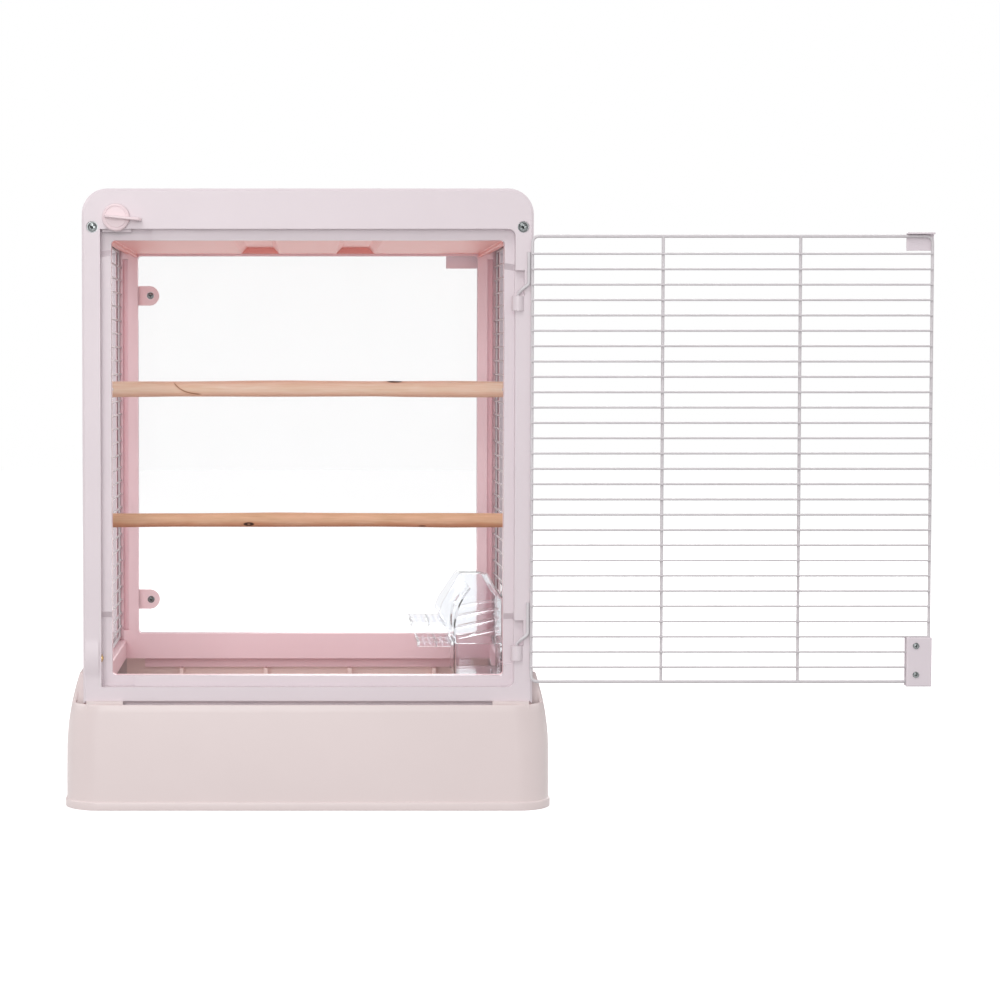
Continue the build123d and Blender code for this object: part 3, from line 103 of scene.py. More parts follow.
# %% Node trees as Python expressions
class Value:
    """One output socket, which Python's operators work on."""

    def __init__(self, board, socket):
        self.board = board
        self.socket = socket

    def math(self, operation, *others, clamp=False):
        terms = dict(enumerate((self, *others)))
        return self.board.node("ShaderNodeMath", {"operation": operation, "use_clamp": clamp}, terms)

    def __add__(self, other):
        return self.math("ADD", other)

    def __mul__(self, other):
        return self.math("MULTIPLY", other)

    def __sub__(self, other):
        return self.math("SUBTRACT", other)

    def __truediv__(self, other):
        return self.math("DIVIDE", other)

    def __rsub__(self, other):
        return self * -1 + other

    def __neg__(self):
        return self * -1

    __radd__ = __add__
    __rmul__ = __mul__

    def size(self):
        return self.math("ABSOLUTE")

    def within(self, limit, blur):
        """1 where the value stays under limit, fading to 0 over blur."""
        return ((limit - self) / blur).math("ADD", 0.0, clamp=True)

    def output(self, name):
        """Another output of the same node."""
        return Value(self.board, self.socket.node.outputs[name])


class Board:
    """A node tree, for a material or for Geometry Nodes."""

    def __init__(self, tree):
        self.tree = tree

    def fill(self, node, sockets):
        for name, value in sockets.items():
            socket = node.inputs[name]
            for item in value if isinstance(value, list) else [value]:
                if isinstance(item, Value):
                    self.tree.links.new(item.socket, socket)
                else:
                    socket.default_value = item

    def node(self, kind, settings=None, sockets=None, out=0):
        node = self.tree.nodes.new(kind)
        for name, setting in (settings or {}).items():
            if name == "stops":
                for number, (place, colour) in enumerate(setting):
                    ramp = node.color_ramp.elements
                    stop = ramp[number] if number < len(ramp) else ramp.new(place)
                    stop.position, stop.color = place, colour
            else:
                setattr(node, name, setting)
        self.fill(node, sockets or {})
        return Value(self, node.outputs[out])

    def place(self, stretch=(1, 1, 1), shift=(0, 0, 0)):
        """Object coordinates in metres, stretched and shifted."""
        here = self.node("ShaderNodeTexCoord", out="Object")
        return self.node("ShaderNodeMapping", None, {"Vector": here, "Location": shift, "Scale": stretch})

    def noise(self, place, grain, detail=2.0, out="Fac"):
        """Cloudy noise whose clouds are grain metres across."""
        sockets = {"Vector": place, "Scale": 1 / grain, "Detail": detail}
        return self.node("ShaderNodeTexNoise", None, sockets, out)

    def mix(self, factor, first, second):
        """A colour between two."""
        return self.node("ShaderNodeMix", {"data_type": "RGBA"}, {0: factor, 6: first, 7: second}, 2)

    def bump(self, height, depth):
        """A normal from a height of 0 to 1 that stands for depth metres."""
        return self.node("ShaderNodeBump", None, {"Height": height, "Strength": 1.0, "Distance": depth})


def new_finish(name):
    """A material with its board and its Principled shader."""
    material = bpy.data.materials.new(name)
    material.use_nodes = True
    return material, Board(material.node_tree), material.node_tree.nodes["Principled BSDF"]


def shade(red, green, blue):
    """A colour as the photograph shows it, 0 to 255, made linear."""
    linear = [
        (c / 255 / 12.92) if c < 11 else ((c / 255 + 0.055) / 1.055) ** 2.4
        for c in (red, green, blue)
    ]
    return (*linear, 1.0)


print("node trees: one class for values, one for boards")

# %% [markdown]
# ## Light and floor
# The photograph is high key: a white room with one large soft light above and in front. The camera
# sees a plain white world. What lights the cage is softer: bright overhead and dimmer from below,
# so that the underside of each bar and wire keeps a tone, and large softboxes add a gentle fall
# from top to foot. What clear plastic bends steeply up or down meets a dark card, the
# photographer's trick that draws the edges of glass. The Standard view keeps the pale pinks as
# they are, where a filmic view would grey them.

# %% Light
SKY_ABOVE = 0.74
SKY_BELOW = 0.36
DARK_CARD, CARD_EDGE, CARD_BLUR = 0.2, 0.5, 0.3
LIGHTS = {
    "Softbox above": {"place": (-0.6, -1.7, 2.4), "aim": (0, 0, 0.3), "size": 1.2, "power": 18},
    "Softbox front": {"place": (-0.3, -2.7, 0.74), "aim": (0, 0, 0.3), "size": 1.3, "power": 24},
    "Softbox back": {"place": (0.6, 2.6, 1.3), "aim": (0, 0, 0.3), "size": 1.6, "power": 26},
    "Softbox left": {"place": (-2.6, 0.2, 1.3), "aim": (0, 0, 0.3), "size": 1.6, "power": 14},
    "Softbox right": {"place": (2.8, 0.2, 1.3), "aim": (0.2, 0, 0.3), "size": 1.6, "power": 14},
}

bpy.context.scene.view_settings.view_transform = "Standard"
world = bpy.data.worlds.new("Studio")
world.use_nodes = True
room = Board(world.node_tree)
height = room.node("ShaderNodeSeparateXYZ", None, {"Vector": room.node("ShaderNodeTexCoord")}, "Z")
glow = SKY_BELOW + (SKY_ABOVE - SKY_BELOW) * (height * 0.5 + 0.5)
path = room.node("ShaderNodeLightPath", out="Is Camera Ray")
through = path.output("Is Transmission Ray")
card = DARK_CARD + (1 - DARK_CARD) * height.size().within(CARD_EDGE, CARD_BLUR)
glow = glow + (card - glow) * through
room.fill(world.node_tree.nodes["Background"], {
    "Color": (1, 1, 1, 1), "Strength": glow + (1 - glow) * path,
})
bpy.context.scene.world = world
for name, light in LIGHTS.items():
    lamp = bpy.data.lights.new(name, "AREA")
    lamp.size = light["size"]
    lamp.energy = light["power"]
    holder = bpy.data.objects.new(name, lamp)
    holder.location = light["place"]
    toward = Vector(light["aim"]) - Vector(light["place"])
    holder.rotation_euler = toward.to_track_quat("-Z", "Y").to_euler()
    bpy.context.scene.collection.objects.link(holder)
print("light:", len(LIGHTS), "softboxes and a white world")

# %% [markdown]
# ## Moulded plastic
# The tub and frames are injection moulded in pastel plastic with a satin skin. What makes such a
# surface look real is small: slow swirls of tone from the melt, a skin of fine grain that breaks
# up the gloss, and faint rubbed patches. The plastic also looks pinker inside the cage, where light
# has bounced from pink to pink. Cycles gives much of that by itself, and a mask on the object's
# own coordinates paints more of that bounce light into the colour there, as a lighter, pinker
# inside colour. The ceiling's colour is its pink plastic deepened with painted bounce light, and the
# rear fittings are the fittings' plastic lifted to a lighter pink by painted bounce light.

# %% Plastic finishes
SWIRL = 70 * MM
SKIN_GRAIN = 0.8 * MM
SKIN_DEPTH = 0.006 * MM
RUB = 9 * MM
INSIDE_BLUR = 1.0 * MM
FRAME_ROOM = {"x": 181 * MM, "y": 150.5 * MM, "low": 66 * MM, "middle": 0.0, "draft": 0.0}
TUB_ROOM = {"x": 173.5 * MM, "y": 168.4 * MM, "low": 2.6 * MM, "middle": 5.5 * MM, "draft": 0.0405}
SKIRT_TOP, SKIRT_BACK, SKIRT_HALF, ROOM_TOP = 100 * MM, 152.5 * MM, 8.5 * MM, 484 * MM


def bounce_light_mask(board, place, x, y, low, middle, draft):
    """Mask of painted bounce light: 1 on what faces the room inside a piece, 0 outside."""
    across = board.node("ShaderNodeSeparateXYZ", None, {"Vector": place})
    deep, up = across.output("Y"), across.output("Z")
    core = ((deep - middle).size() + up * draft).within(y, INSIDE_BLUR)
    skirt = (deep - SKIRT_BACK).size().within(SKIRT_HALF, INSIDE_BLUR) * up.within(SKIRT_TOP, INSIDE_BLUR)
    if not draft:
        core = core.math("MAXIMUM", skirt)
    level = (-up).within(-low, INSIDE_BLUR) * up.within(ROOM_TOP, INSIDE_BLUR)
    return across.size().within(x, INSIDE_BLUR) * core * level


def plastic(name, colour, inside=None, room=FRAME_ROOM, roughness=0.38, tone=0.03):
    """Satin moulded plastic, one colour outside and a painted bounce-light colour inside the cage."""
    material, board, shader = new_finish(name)
    place = board.place()
    swirl = board.noise(place, SWIRL, 3)
    skin = board.noise(place, SKIN_GRAIN, 2)
    rub = board.noise(place, RUB, 4)
    pale = tuple(min(1, c * (1 + tone)) for c in colour)
    deep = tuple(c * (1 - tone) for c in colour)
    face = board.mix(swirl, deep, pale)
    # The inside colour is painted bounce light, mixed in where the mask finds the room inside the cage.
    if inside:
        face = board.mix(bounce_light_mask(board, place, **room), face, inside)
    board.fill(shader, {
        "Base Color": face,
        "Roughness": roughness + 0.12 * (rub - 0.5),
        "Normal": board.bump(skin, SKIN_DEPTH),
    })
    return material


# The second colours of frame and tub are painted bounce light: lighter and pinker inside the cage.
FRAME_FINISH = plastic("Frame plastic", shade(215, 203, 208), shade(248, 215, 221))
ROOF_FINISH = plastic("Roof plastic", shade(215, 203, 208))
TUB_FINISH = plastic("Tub plastic", shade(219, 204, 203), shade(255, 232, 226), TUB_ROOM, roughness=0.34)
# The ceiling's pink plastic is deepened here with painted bounce light from inside the cage.
CEILING_FINISH = plastic("Ceiling plastic with painted bounce pink", shade(246, 166, 158), roughness=0.42)
FITTING_FINISH = plastic("Fitting plastic", shade(217, 206, 212), roughness=0.42)
# The rear fittings are the fittings' plastic lifted to a lighter pink: painted bounce light.
REAR_FITTING_BOUNCE_FINISH = plastic("Fitting plastic with painted bounce pink", shade(254, 224, 228), roughness=0.42)
KNOB_FINISH = plastic("Knob plastic", shade(224, 204, 208), roughness=0.32)
print("plastic: seven satin finishes")

# %% [markdown]
# ## Wire, steel, brass, wood and clear plastic
# The wires carry a white powder coat, which is slightly lumpy like the skin of an orange. The
# screws are plated steel with turning marks, and the catch is brass. The sticks are peeled
# branches: long streaks in the grain, warmer and cooler patches, a knot or two and one healed
# split. The clear plastic is modelled as real glass-like plastic where it is curved. The flat rear
# door is thin and seen square on, so a faint tint with a clean gloss says more than refraction
# would.

# %% Other finishes
def coated_wire():
    material, board, shader = new_finish("White coated wire")
    place = board.place()
    lumps = board.noise(place, 1.1 * MM, 2)
    thin_spots = board.noise(place, 22 * MM, 3)
    board.fill(shader, {
        "Base Color": board.mix(thin_spots, shade(196, 190, 193), shade(210, 205, 208)),
        "Roughness": 0.34 + 0.12 * thin_spots,
        "Normal": board.bump(lumps, 0.006 * MM),
    })
    return material


def turned_metal(name, dark, light, roughness):
    material, board, shader = new_finish(name)
    marks = board.noise(board.place(stretch=(1, 8, 1)), 0.35 * MM, 3)
    tarnish = board.noise(board.place(), 3 * MM, 4)
    board.fill(shader, {
        "Base Color": board.mix(tarnish, dark, light),
        "Metallic": 1.0,
        "Roughness": roughness + 0.18 * (marks - 0.5),
        "Normal": board.bump(marks, 0.01 * MM),
    })
    return material


def clear_plastic():
    material, board, shader = new_finish("Clear feeder plastic")
    flow = board.noise(board.place(), 14 * MM, 2)
    board.fill(shader, {
        "Base Color": (0.97, 0.98, 1.0, 1),
        "Roughness": 0.03 + 0.03 * flow,
        "Normal": board.bump(flow, 0.05 * MM),
    })
    shader.inputs["Transmission Weight"].default_value = 1.0
    shader.inputs["IOR"].default_value = 1.49
    return material


def clear_sheet():
    material, board, shader = new_finish("Clear door sheet")
    haze = board.noise(board.place(), 60 * MM, 3)
    board.fill(shader, {
        "Base Color": (0.84, 0.88, 0.97, 1),
        "Roughness": 0.05 + 0.06 * haze,
        "Alpha": 0.03 + 0.02 * haze,
    })
    return material


WIRE_FINISH = coated_wire()
STEEL_FINISH = turned_metal("Plated screw steel", shade(96, 100, 101), shade(150, 154, 154), 0.26)
BRASS_FINISH = turned_metal("Catch brass", shade(186, 150, 96), shade(222, 190, 132), 0.26)
CLEAR_FINISH = clear_plastic()
SHEET_FINISH = clear_sheet()
print("finishes:", len(bpy.data.materials), "materials so far")

# %% [markdown]
# ## Putting a piece on its body
# Every piece rides on the CAD body that carries it, so it moves with the doors and knobs. A piece
# that stands for a CAD node takes the node's body from the imported record, which keeps the two in
# step, and the node itself is hidden.

# %% Helpers that seat a piece
def seat(piece, material, *nodes):
    """Gives a piece its material and its CAD body, and hides the nodes that it stands for."""
    if material:
        piece.data.materials.clear()
        piece.data.materials.append(material)
    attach(piece, BODY_OF[nodes[0]])
    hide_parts(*nodes)
    print("  %-26s %6d faces" % (piece.name, len(piece.data.polygons)))
    return piece


def new_piece(name, mesh):
    piece = bpy.data.objects.new(name, mesh)
    bpy.context.scene.collection.objects.link(piece)
    return piece


def baked(piece):
    """The piece with its modifiers worked into a plain mesh."""
    bpy.context.view_layer.update()
    mesh = bpy.data.meshes.new_from_object(piece.evaluated_get(bpy.context.evaluated_depsgraph_get()))
    mesh.name = piece.name
    piece.modifiers.clear()
    piece.data = mesh
    return piece


print("helpers: seat, new_piece, baked")

# %% [markdown]
# ## Rounded edges on moulded pieces
# A mould has no perfectly sharp edge, and it is the thin bright line along each rounded edge that
# tells the eye that a thing is plastic. The CAD mesh is loose triangles, so a copy of it is merged
# and its flat faces are joined again. Then a Bevel modifier rounds what is sharper than the
# fillets already there, and weighted normals keep the large faces flat in the light.

# %% Plain blocks and Booleans
FLAT_ANGLE = math.radians(1.5)
ROUNDED_ANGLE = math.radians(28)
BOTH_SIDES = (-1, 1)


def blocks(name, boxes):
    """Plain blocks in one mesh, each from its lowest and highest corner in millimetres."""
    work = bmesh.new()
    for low, high in boxes:
        low, high = Vector(low) * MM, Vector(high) * MM
        size = Matrix.Diagonal((*(high - low), 1))
        bmesh.ops.create_cube(work, size=1, matrix=Matrix.Translation((low + high) / 2) @ size)
    mesh = bpy.data.meshes.new(name)
    work.to_mesh(mesh)
    work.free()
    return new_piece(name, mesh)


def combined(piece, boxes, operation):
    """A Boolean of a piece with plain blocks."""
    tool = blocks(piece.name + "_blocks", boxes)
    step = piece.modifiers.new("Blocks", "BOOLEAN")
    step.operation = operation
    step.object = tool
    baked(piece)
    bpy.data.objects.remove(tool)
    return piece


print("helpers: blocks and combined")

# %% [markdown]
# ## Where the photograph shows more than the solids
# Four pieces change shape a little before their edges are rounded. The front frame's opening is
# slightly wider, and its knob pocket is closed from behind. The back frame has a channel in each
# upright and an outer edge that steps back. The feeder's steps are combs of thin slats, which a
# Boolean with a row of blocks cuts, because clear plastic shows its form only where it has edges.

# %% Channels, slots and the wider opening
KNOB_BACKING = [((-168.7, -157.9, 474.6), (-144.7, -156.0, 480.0))]
CHANNEL_X, CHANNEL_HALF = 171.6, 2.4
STEP_X, STEP_HALF = 184.0, 2.6
BACK_CHANNELS = [
    ((side * CHANNEL_X - CHANNEL_HALF, 142.5, 114), (side * CHANNEL_X + CHANNEL_HALF, 149.0, 464))
    for side in BOTH_SIDES
]
BACK_STEPS = [
    ((side * STEP_X - STEP_HALF, 142.5, 112), (side * STEP_X + STEP_HALF, 156.0, 470))
    for side in BOTH_SIDES
]
SLAT_PITCH, SLOT_WIDTH = 5.2, 3.4
SLOT_SIDES = ((-30.5, -1.2), (1.2, 30.5))


def slots(first, count, low, high):
    """Slots through a step of the feeder, which leave thin slats along its depth."""
    starts = [first + SLAT_PITCH * number for number in range(count)]
    return [((x, near, low), (x + SLOT_WIDTH, far, high)) for x in starts for near, far in SLOT_SIDES]


CUTS = {
    "back_frame": BACK_CHANNELS + BACK_STEPS,
    "feeder_step_upper": slots(92.0, 5, 136, 142),
    "feeder_step_lower": slots(98.6, 5, 118, 124),
}
OPENING_SHIFT = {"side": 1.8 * MM, "top": 1.3 * MM, "bottom": -2.2 * MM}
RIM_X, RIM_FRONT, RIM_FOOT, RIM_HEAD = 160.1 * MM, -156.1 * MM, 110.9 * MM, 467.1 * MM
RIM_SIDE_FROM, RIM_TOP_FROM, RIM_BOTTOM_TO = 150 * MM, 400 * MM, 150 * MM


def opened(mesh):
    """The front opening's edge, a little wider than the CAD's, as the photograph shows it."""
    for vertex in mesh.vertices:
        x, y, z = vertex.co
        if abs(x) < RIM_X and RIM_FRONT < y and RIM_FOOT < z < RIM_HEAD:
            if abs(x) > RIM_SIDE_FROM:
                vertex.co.x += math.copysign(OPENING_SHIFT["side"], x)
            if z > RIM_TOP_FROM:
                vertex.co.z += OPENING_SHIFT["top"]
            elif z < RIM_BOTTOM_TO:
                vertex.co.z += OPENING_SHIFT["bottom"]


print("cuts:", sum(len(boxes) for boxes in CUTS.values()), "blocks in", len(CUTS), "pieces")

# %% [markdown]
# The feeder's hood isn't a straight prism. Its roof falls towards the hook and a little towards
# the back. The copy gets three extra cuts across the roof, so that there are corners to move, and
# a formula lowers them.

# %% Bend the hood's roof
HOOD_BENDS = (150 * MM, 157 * MM, 164 * MM)
HOOD_FALL, HOOD_BACK_DROP = 0.9, 5.0 * MM
HOOD_STILL, HOOD_BASE, HOOD_RIDGE = 150 * MM, 156 * MM, 155 * MM


def bent_hood(work):
    """The hood's roof falls towards the hook and towards the back, as the photograph shows it."""
    for x in HOOD_BENDS:
        parts = [*work.verts, *work.edges, *work.faces]
        bmesh.ops.bisect_plane(work, geom=parts, plane_co=(x, 0, 0), plane_no=(1, 0, 0))
    low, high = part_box("feeder_hood")
    for vertex in work.verts:
        share = min(1.0, max(0.0, (vertex.co.z - HOOD_STILL) / (high.z - HOOD_BASE)))
        fall = HOOD_FALL * max(0.0, vertex.co.x - HOOD_RIDGE)
        back = HOOD_BACK_DROP * (vertex.co.y - low.y) / (high.y - low.y)
        vertex.co.z -= share * (fall + back)


print("hood:", len(HOOD_BENDS), "bends")

# %% Soften the CAD pieces
def softened(node, material, width, segments=2):
    """A copy of a CAD node with rounded edges, which stands for the node."""
    mesh = frame["nodes"][node].data.copy()
    work = bmesh.new()
    work.from_mesh(mesh)
    bmesh.ops.remove_doubles(work, verts=work.verts, dist=0.001 * MM)
    bmesh.ops.dissolve_limit(work, angle_limit=FLAT_ANGLE, verts=work.verts, edges=work.edges)
    if node == "feeder_hood":
        bent_hood(work)
    work.to_mesh(mesh)
    work.free()
    piece = new_piece(node + "_skin", mesh)
    if node == "front_frame":
        opened(mesh)
        combined(piece, KNOB_BACKING, "UNION")
    elif node in CUTS:
        combined(piece, CUTS[node], "DIFFERENCE")
    for face in piece.data.polygons:
        face.use_smooth = True
    bevel = piece.modifiers.new("Rounded edges", "BEVEL")
    bevel.width = width
    bevel.segments = segments
    bevel.limit_method = "ANGLE"
    bevel.angle_limit = ROUNDED_ANGLE
    even = piece.modifiers.new("Even light", "WEIGHTED_NORMAL")
    even.keep_sharp = True
    return seat(baked(piece), material, node)


SOFTENED = {
    0.7 * MM: {
        FRAME_FINISH: ["front_frame", "back_frame", "left_sill", "right_sill"],
        ROOF_FINISH: ["roof_cap"],
        CEILING_FINISH: ["ceiling_panel"],
    },
    0.4 * MM: {
        FITTING_FINISH: ["door_corner_clip", "door_catch_plate_front", "door_catch_plate_back"],
        REAR_FITTING_BOUNCE_FINISH: ["rear_hinge_lower", "rear_hinge_upper", "rear_door_clip"],
    },
    0.3 * MM: {
        SHEET_FINISH: ["rear_clear_panel"],
        CLEAR_FINISH: [
            "feeder_cup", "feeder_hood", "feeder_guard", "feeder_step_upper",
            "feeder_step_lower", "feeder_hook",
        ],
    },
}
for width, finishes in SOFTENED.items():
    for material, nodes in finishes.items():
        for node in nodes:
            softened(node, material, width)
print("softened:", sum(len(n) for f in SOFTENED.values() for n in f.values()), "moulded pieces")

# %% [markdown]
# ## Welded wire grids
# The door, both side panels and the floor grate are made the same way: a closed loop of thick
# wire, two thick uprights across it and many thin wires welded on top. One Geometry Nodes tree
# makes all four. It draws the loop and the uprights as curves and gives them a round section,
# copies one thin wire along a line of points, and adds a small melted bead at every crossing.
# Named inputs hold the sizes, so each grid is one set of numbers.

# %% Tree for a welded grid
ROUND_STEPS = 12
BEAD_DETAIL = 1


def open_tree(name, sockets):
    """A Geometry Nodes tree with named inputs, its board and its inputs as values."""
    tree = bpy.data.node_groups.new(name, "GeometryNodeTree")
    for label, kind in sockets.items():
        tree.interface.new_socket(label, in_out="INPUT", socket_type="NodeSocket" + kind)
    tree.interface.new_socket("Geometry", in_out="OUTPUT", socket_type="NodeSocketGeometry")
    board = Board(tree)
    entry = tree.nodes.new("NodeGroupInput")
    return tree, board, {label: Value(board, entry.outputs[label]) for label in sockets}


def close_tree(board, shapes, given, sharp=math.radians(40)):
    """Turns the shapes to their place, makes them real and gives them their material."""
    joined = board.node("GeometryNodeJoinGeometry", None, {"Geometry": shapes})
    real = board.node("GeometryNodeRealizeInstances", None, {"Geometry": joined})
    turned = {"Geometry": real, "Translation": given["Place"], "Rotation": given["Turn"]}
    placed = board.node("GeometryNodeTransform", None, turned)
    smooth = board.node("GeometryNodeSetShadeSmooth", None, {"Geometry": placed})
    angle = board.node("GeometryNodeInputMeshEdgeAngle", out="Unsigned Angle")
    edges = {"Geometry": smooth, "Selection": angle.math("GREATER_THAN", sharp), "Shade Smooth": False}
    edged = board.node("GeometryNodeSetShadeSmooth", {"domain": "EDGE"}, edges)
    painted = board.node("GeometryNodeSetMaterial", None, {
        "Geometry": edged, "Material": given["Material"],
    })
    board.tree.links.new(painted.socket, board.tree.nodes.new("NodeGroupOutput").inputs["Geometry"])


def grown(name, tree, values, *nodes):
    """A plain mesh made by a tree, which stands for its CAD nodes."""
    piece = new_piece(name, bpy.data.meshes.new(name))
    modifier = piece.modifiers.new("Grow", "NODES")
    modifier.node_group = tree
    for item in tree.interface.items_tree:
        if item.in_out == "INPUT" and item.name in values:
            modifier[item.identifier] = values[item.name]
    return seat(baked(piece), None, *nodes)


def xyz(board, x=0.0, y=0.0, z=0.0):
    return board.node("ShaderNodeCombineXYZ", None, {"X": x, "Y": y, "Z": z})


def tube(board, path, radius):
    """A curve with a round section and closed ends."""
    ring = board.node("GeometryNodeCurvePrimitiveCircle", None, {
        "Resolution": ROUND_STEPS, "Radius": radius,
    })
    return board.node("GeometryNodeCurveToMesh", None, {
        "Curve": path, "Profile Curve": ring, "Fill Caps": True,
    })


def line(board, start, end):
    return board.node("GeometryNodeCurvePrimitiveLine", None, {"Start": start, "End": end})


def welded_grid_tree():
    tree, board, given = open_tree("Welded grid", {
        "Width": "Float", "Height": "Float", "Bend": "Float", "Thick radius": "Float",
        "First upright": "Float", "Second upright": "Float", "Wires": "Int", "Pitch": "Float",
        "First wire": "Float", "Thin radius": "Float",
        "Lift": "Float", "Bead": "Float", "Place": "Vector", "Turn": "Vector", "Material": "Material",
    })
    size = {"Width": given["Width"], "Height": given["Height"]}
    frame_curve = board.node("GeometryNodeCurvePrimitiveQuadrilateral", {"mode": "RECTANGLE"}, size)
    rounded = {"Curve": frame_curve, "Count": 6, "Radius": given["Bend"]}
    loop = board.node("GeometryNodeFilletCurve", {"mode": "POLY"}, rounded)
    top = given["Height"] * 0.5
    side = given["Width"] * 0.5
    uprights = [
        line(board, xyz(board, given[name], -top), xyz(board, given[name], top))
        for name in ("First upright", "Second upright")
    ]
    thick = [tube(board, path, given["Thick radius"]) for path in (loop, *uprights)]
    wire = tube(board, line(board, xyz(board, -side), xyz(board, side)), given["Thin radius"])
    step = xyz(board, 0.0, given["Pitch"])
    first = given["First wire"]
    rungs = {
        "Count": given["Wires"], "Start Location": xyz(board, 0.0, first, given["Lift"]), "Offset": step,
    }
    points = board.node("GeometryNodeMeshLine", None, rungs)
    wires = board.node("GeometryNodeInstanceOnPoints", None, {"Points": points, "Instance": wire})
    bead = board.node("GeometryNodeMeshIcoSphere", None, {
        "Radius": given["Bead"], "Subdivisions": BEAD_DETAIL + 1,
    })
    beads = []
    for x in (-side, given["First upright"], given["Second upright"], side):
        start = xyz(board, x, first, given["Lift"] * 0.55)
        spots = {"Count": given["Wires"], "Start Location": start, "Offset": step}
        column = board.node("GeometryNodeMeshLine", None, spots)
        beads.append(board.node("GeometryNodeInstanceOnPoints", None, {"Points": column, "Instance": bead}))
    close_tree(board, [*thick, wires, *beads], given)
    return tree


GRID_TREE = welded_grid_tree()
print("welded grid tree:", len(GRID_TREE.nodes), "nodes")

# %% [markdown]
# The grid is drawn flat, with X along the thin wires, Y across them and Z on the side that they
# are welded to. Each panel is then turned into its place: the door stands in the plane of the
# front, the side panels along the depth, and the grate lies flat. The CAD's hexagonal wires give
# the places. The drawn wires are round and a little thinner than those, as the photograph shows
# them.

# %% Grow the four grids
THIN_RADIUS = 0.85 * MM
ROUND_SHARE = 0.87
DOOR_THICK_RADIUS = 1.5 * MM
PANEL_THICK_RADIUS = 1.4 * MM
WIRE_COUNT = 28
WIRE_PITCH = 12.55 * MM
WIRE_FIRST_Z = 117.6 * MM
WELD_SINK = 0.25 * MM
HEX_SHARE = math.cos(math.pi / 6)
BEAD_SHARE = 1.22
DOOR_UPRIGHTS = (118.3 * MM, 230.6 * MM)
HINGE_X = 172.2 * MM
PANEL_UPRIGHT = 48 * MM
GRATE_CROSS = 50 * MM
GRATE_WIRES = 21
GRATE_PITCH = 17 * MM


def span(node, axis, thick):
    """Centre to centre size of a grid's loop along one axis, and its middle."""
    low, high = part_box(node)
    return high[axis] - low[axis] - 2 * thick * HEX_SHARE, (high[axis] + low[axis]) / 2


def grow_grid(node, along, across, thick, uprights, wires, first, bend, place, turn, pitch=WIRE_PITCH):
    width, height = span(node, along, thick)[0], span(node, across, thick)[0]
    drawn = thick * ROUND_SHARE
    values = {
        "Width": width, "Height": height, "Bend": bend, "Thick radius": drawn,
        "First upright": uprights[0], "Second upright": uprights[1], "Wires": wires, "Pitch": pitch,
        "First wire": first, "Thin radius": THIN_RADIUS, "Lift": drawn + THIN_RADIUS - WELD_SINK,
        "Bead": THIN_RADIUS * BEAD_SHARE, "Place": place, "Turn": turn, "Material": WIRE_FINISH,
    }
    return grown(node + "_wires", GRID_TREE, values, node)


X, Y, Z = range(3)
door_middle = span("door_wire_grid", X, DOOR_THICK_RADIUS)[1]
door_centre = span("door_wire_grid", Z, DOOR_THICK_RADIUS)[1]
door_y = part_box("door_wire_grid")[1].y - DOOR_THICK_RADIUS
grow_grid(
    "door_wire_grid", X, Z, DOOR_THICK_RADIUS,
    [HINGE_X + x - door_middle for x in DOOR_UPRIGHTS], WIRE_COUNT,
    WIRE_FIRST_Z - door_centre, 5 * MM, (door_middle, door_y, door_centre), (math.pi / 2, 0, 0),
)
for side, name in ((-1, "left_wire_panel"), (1, "right_wire_panel")):
    low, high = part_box(name)
    outer = (high.x if side > 0 else low.x) - side * PANEL_THICK_RADIUS
    middle = span(name, Z, PANEL_THICK_RADIUS)[1]
    grow_grid(
        name, Y, Z, PANEL_THICK_RADIUS, (-PANEL_UPRIGHT, PANEL_UPRIGHT), WIRE_COUNT, WIRE_FIRST_Z - middle,
        4 * MM, (outer, 0, middle), (math.pi / 2, 0, -side * math.pi / 2),
    )
grate_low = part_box("floor_grate")[0]
grow_grid(
    "floor_grate", Y, X, PANEL_THICK_RADIUS, (-GRATE_CROSS, GRATE_CROSS), GRATE_WIRES,
    -(GRATE_WIRES - 1) / 2 * GRATE_PITCH, 12 * MM,
    (0, 0, grate_low.z + PANEL_THICK_RADIUS), (0, 0, math.pi / 2),
    GRATE_PITCH,
)
print("grids:", GRATE_WIRES, "wires in the grate,", WIRE_COUNT, "in each upright panel")

# %% [markdown]
# ## Screws
# The cage is held by small pan head screws with a cross recess. A screw is a squashed ball for the
# crown, a short band under it and a shank, and a Boolean takes two crossed bars out of the crown.
# One tree makes a screw and copies it along a line, so that a pair on one piece is one set of
# inputs.

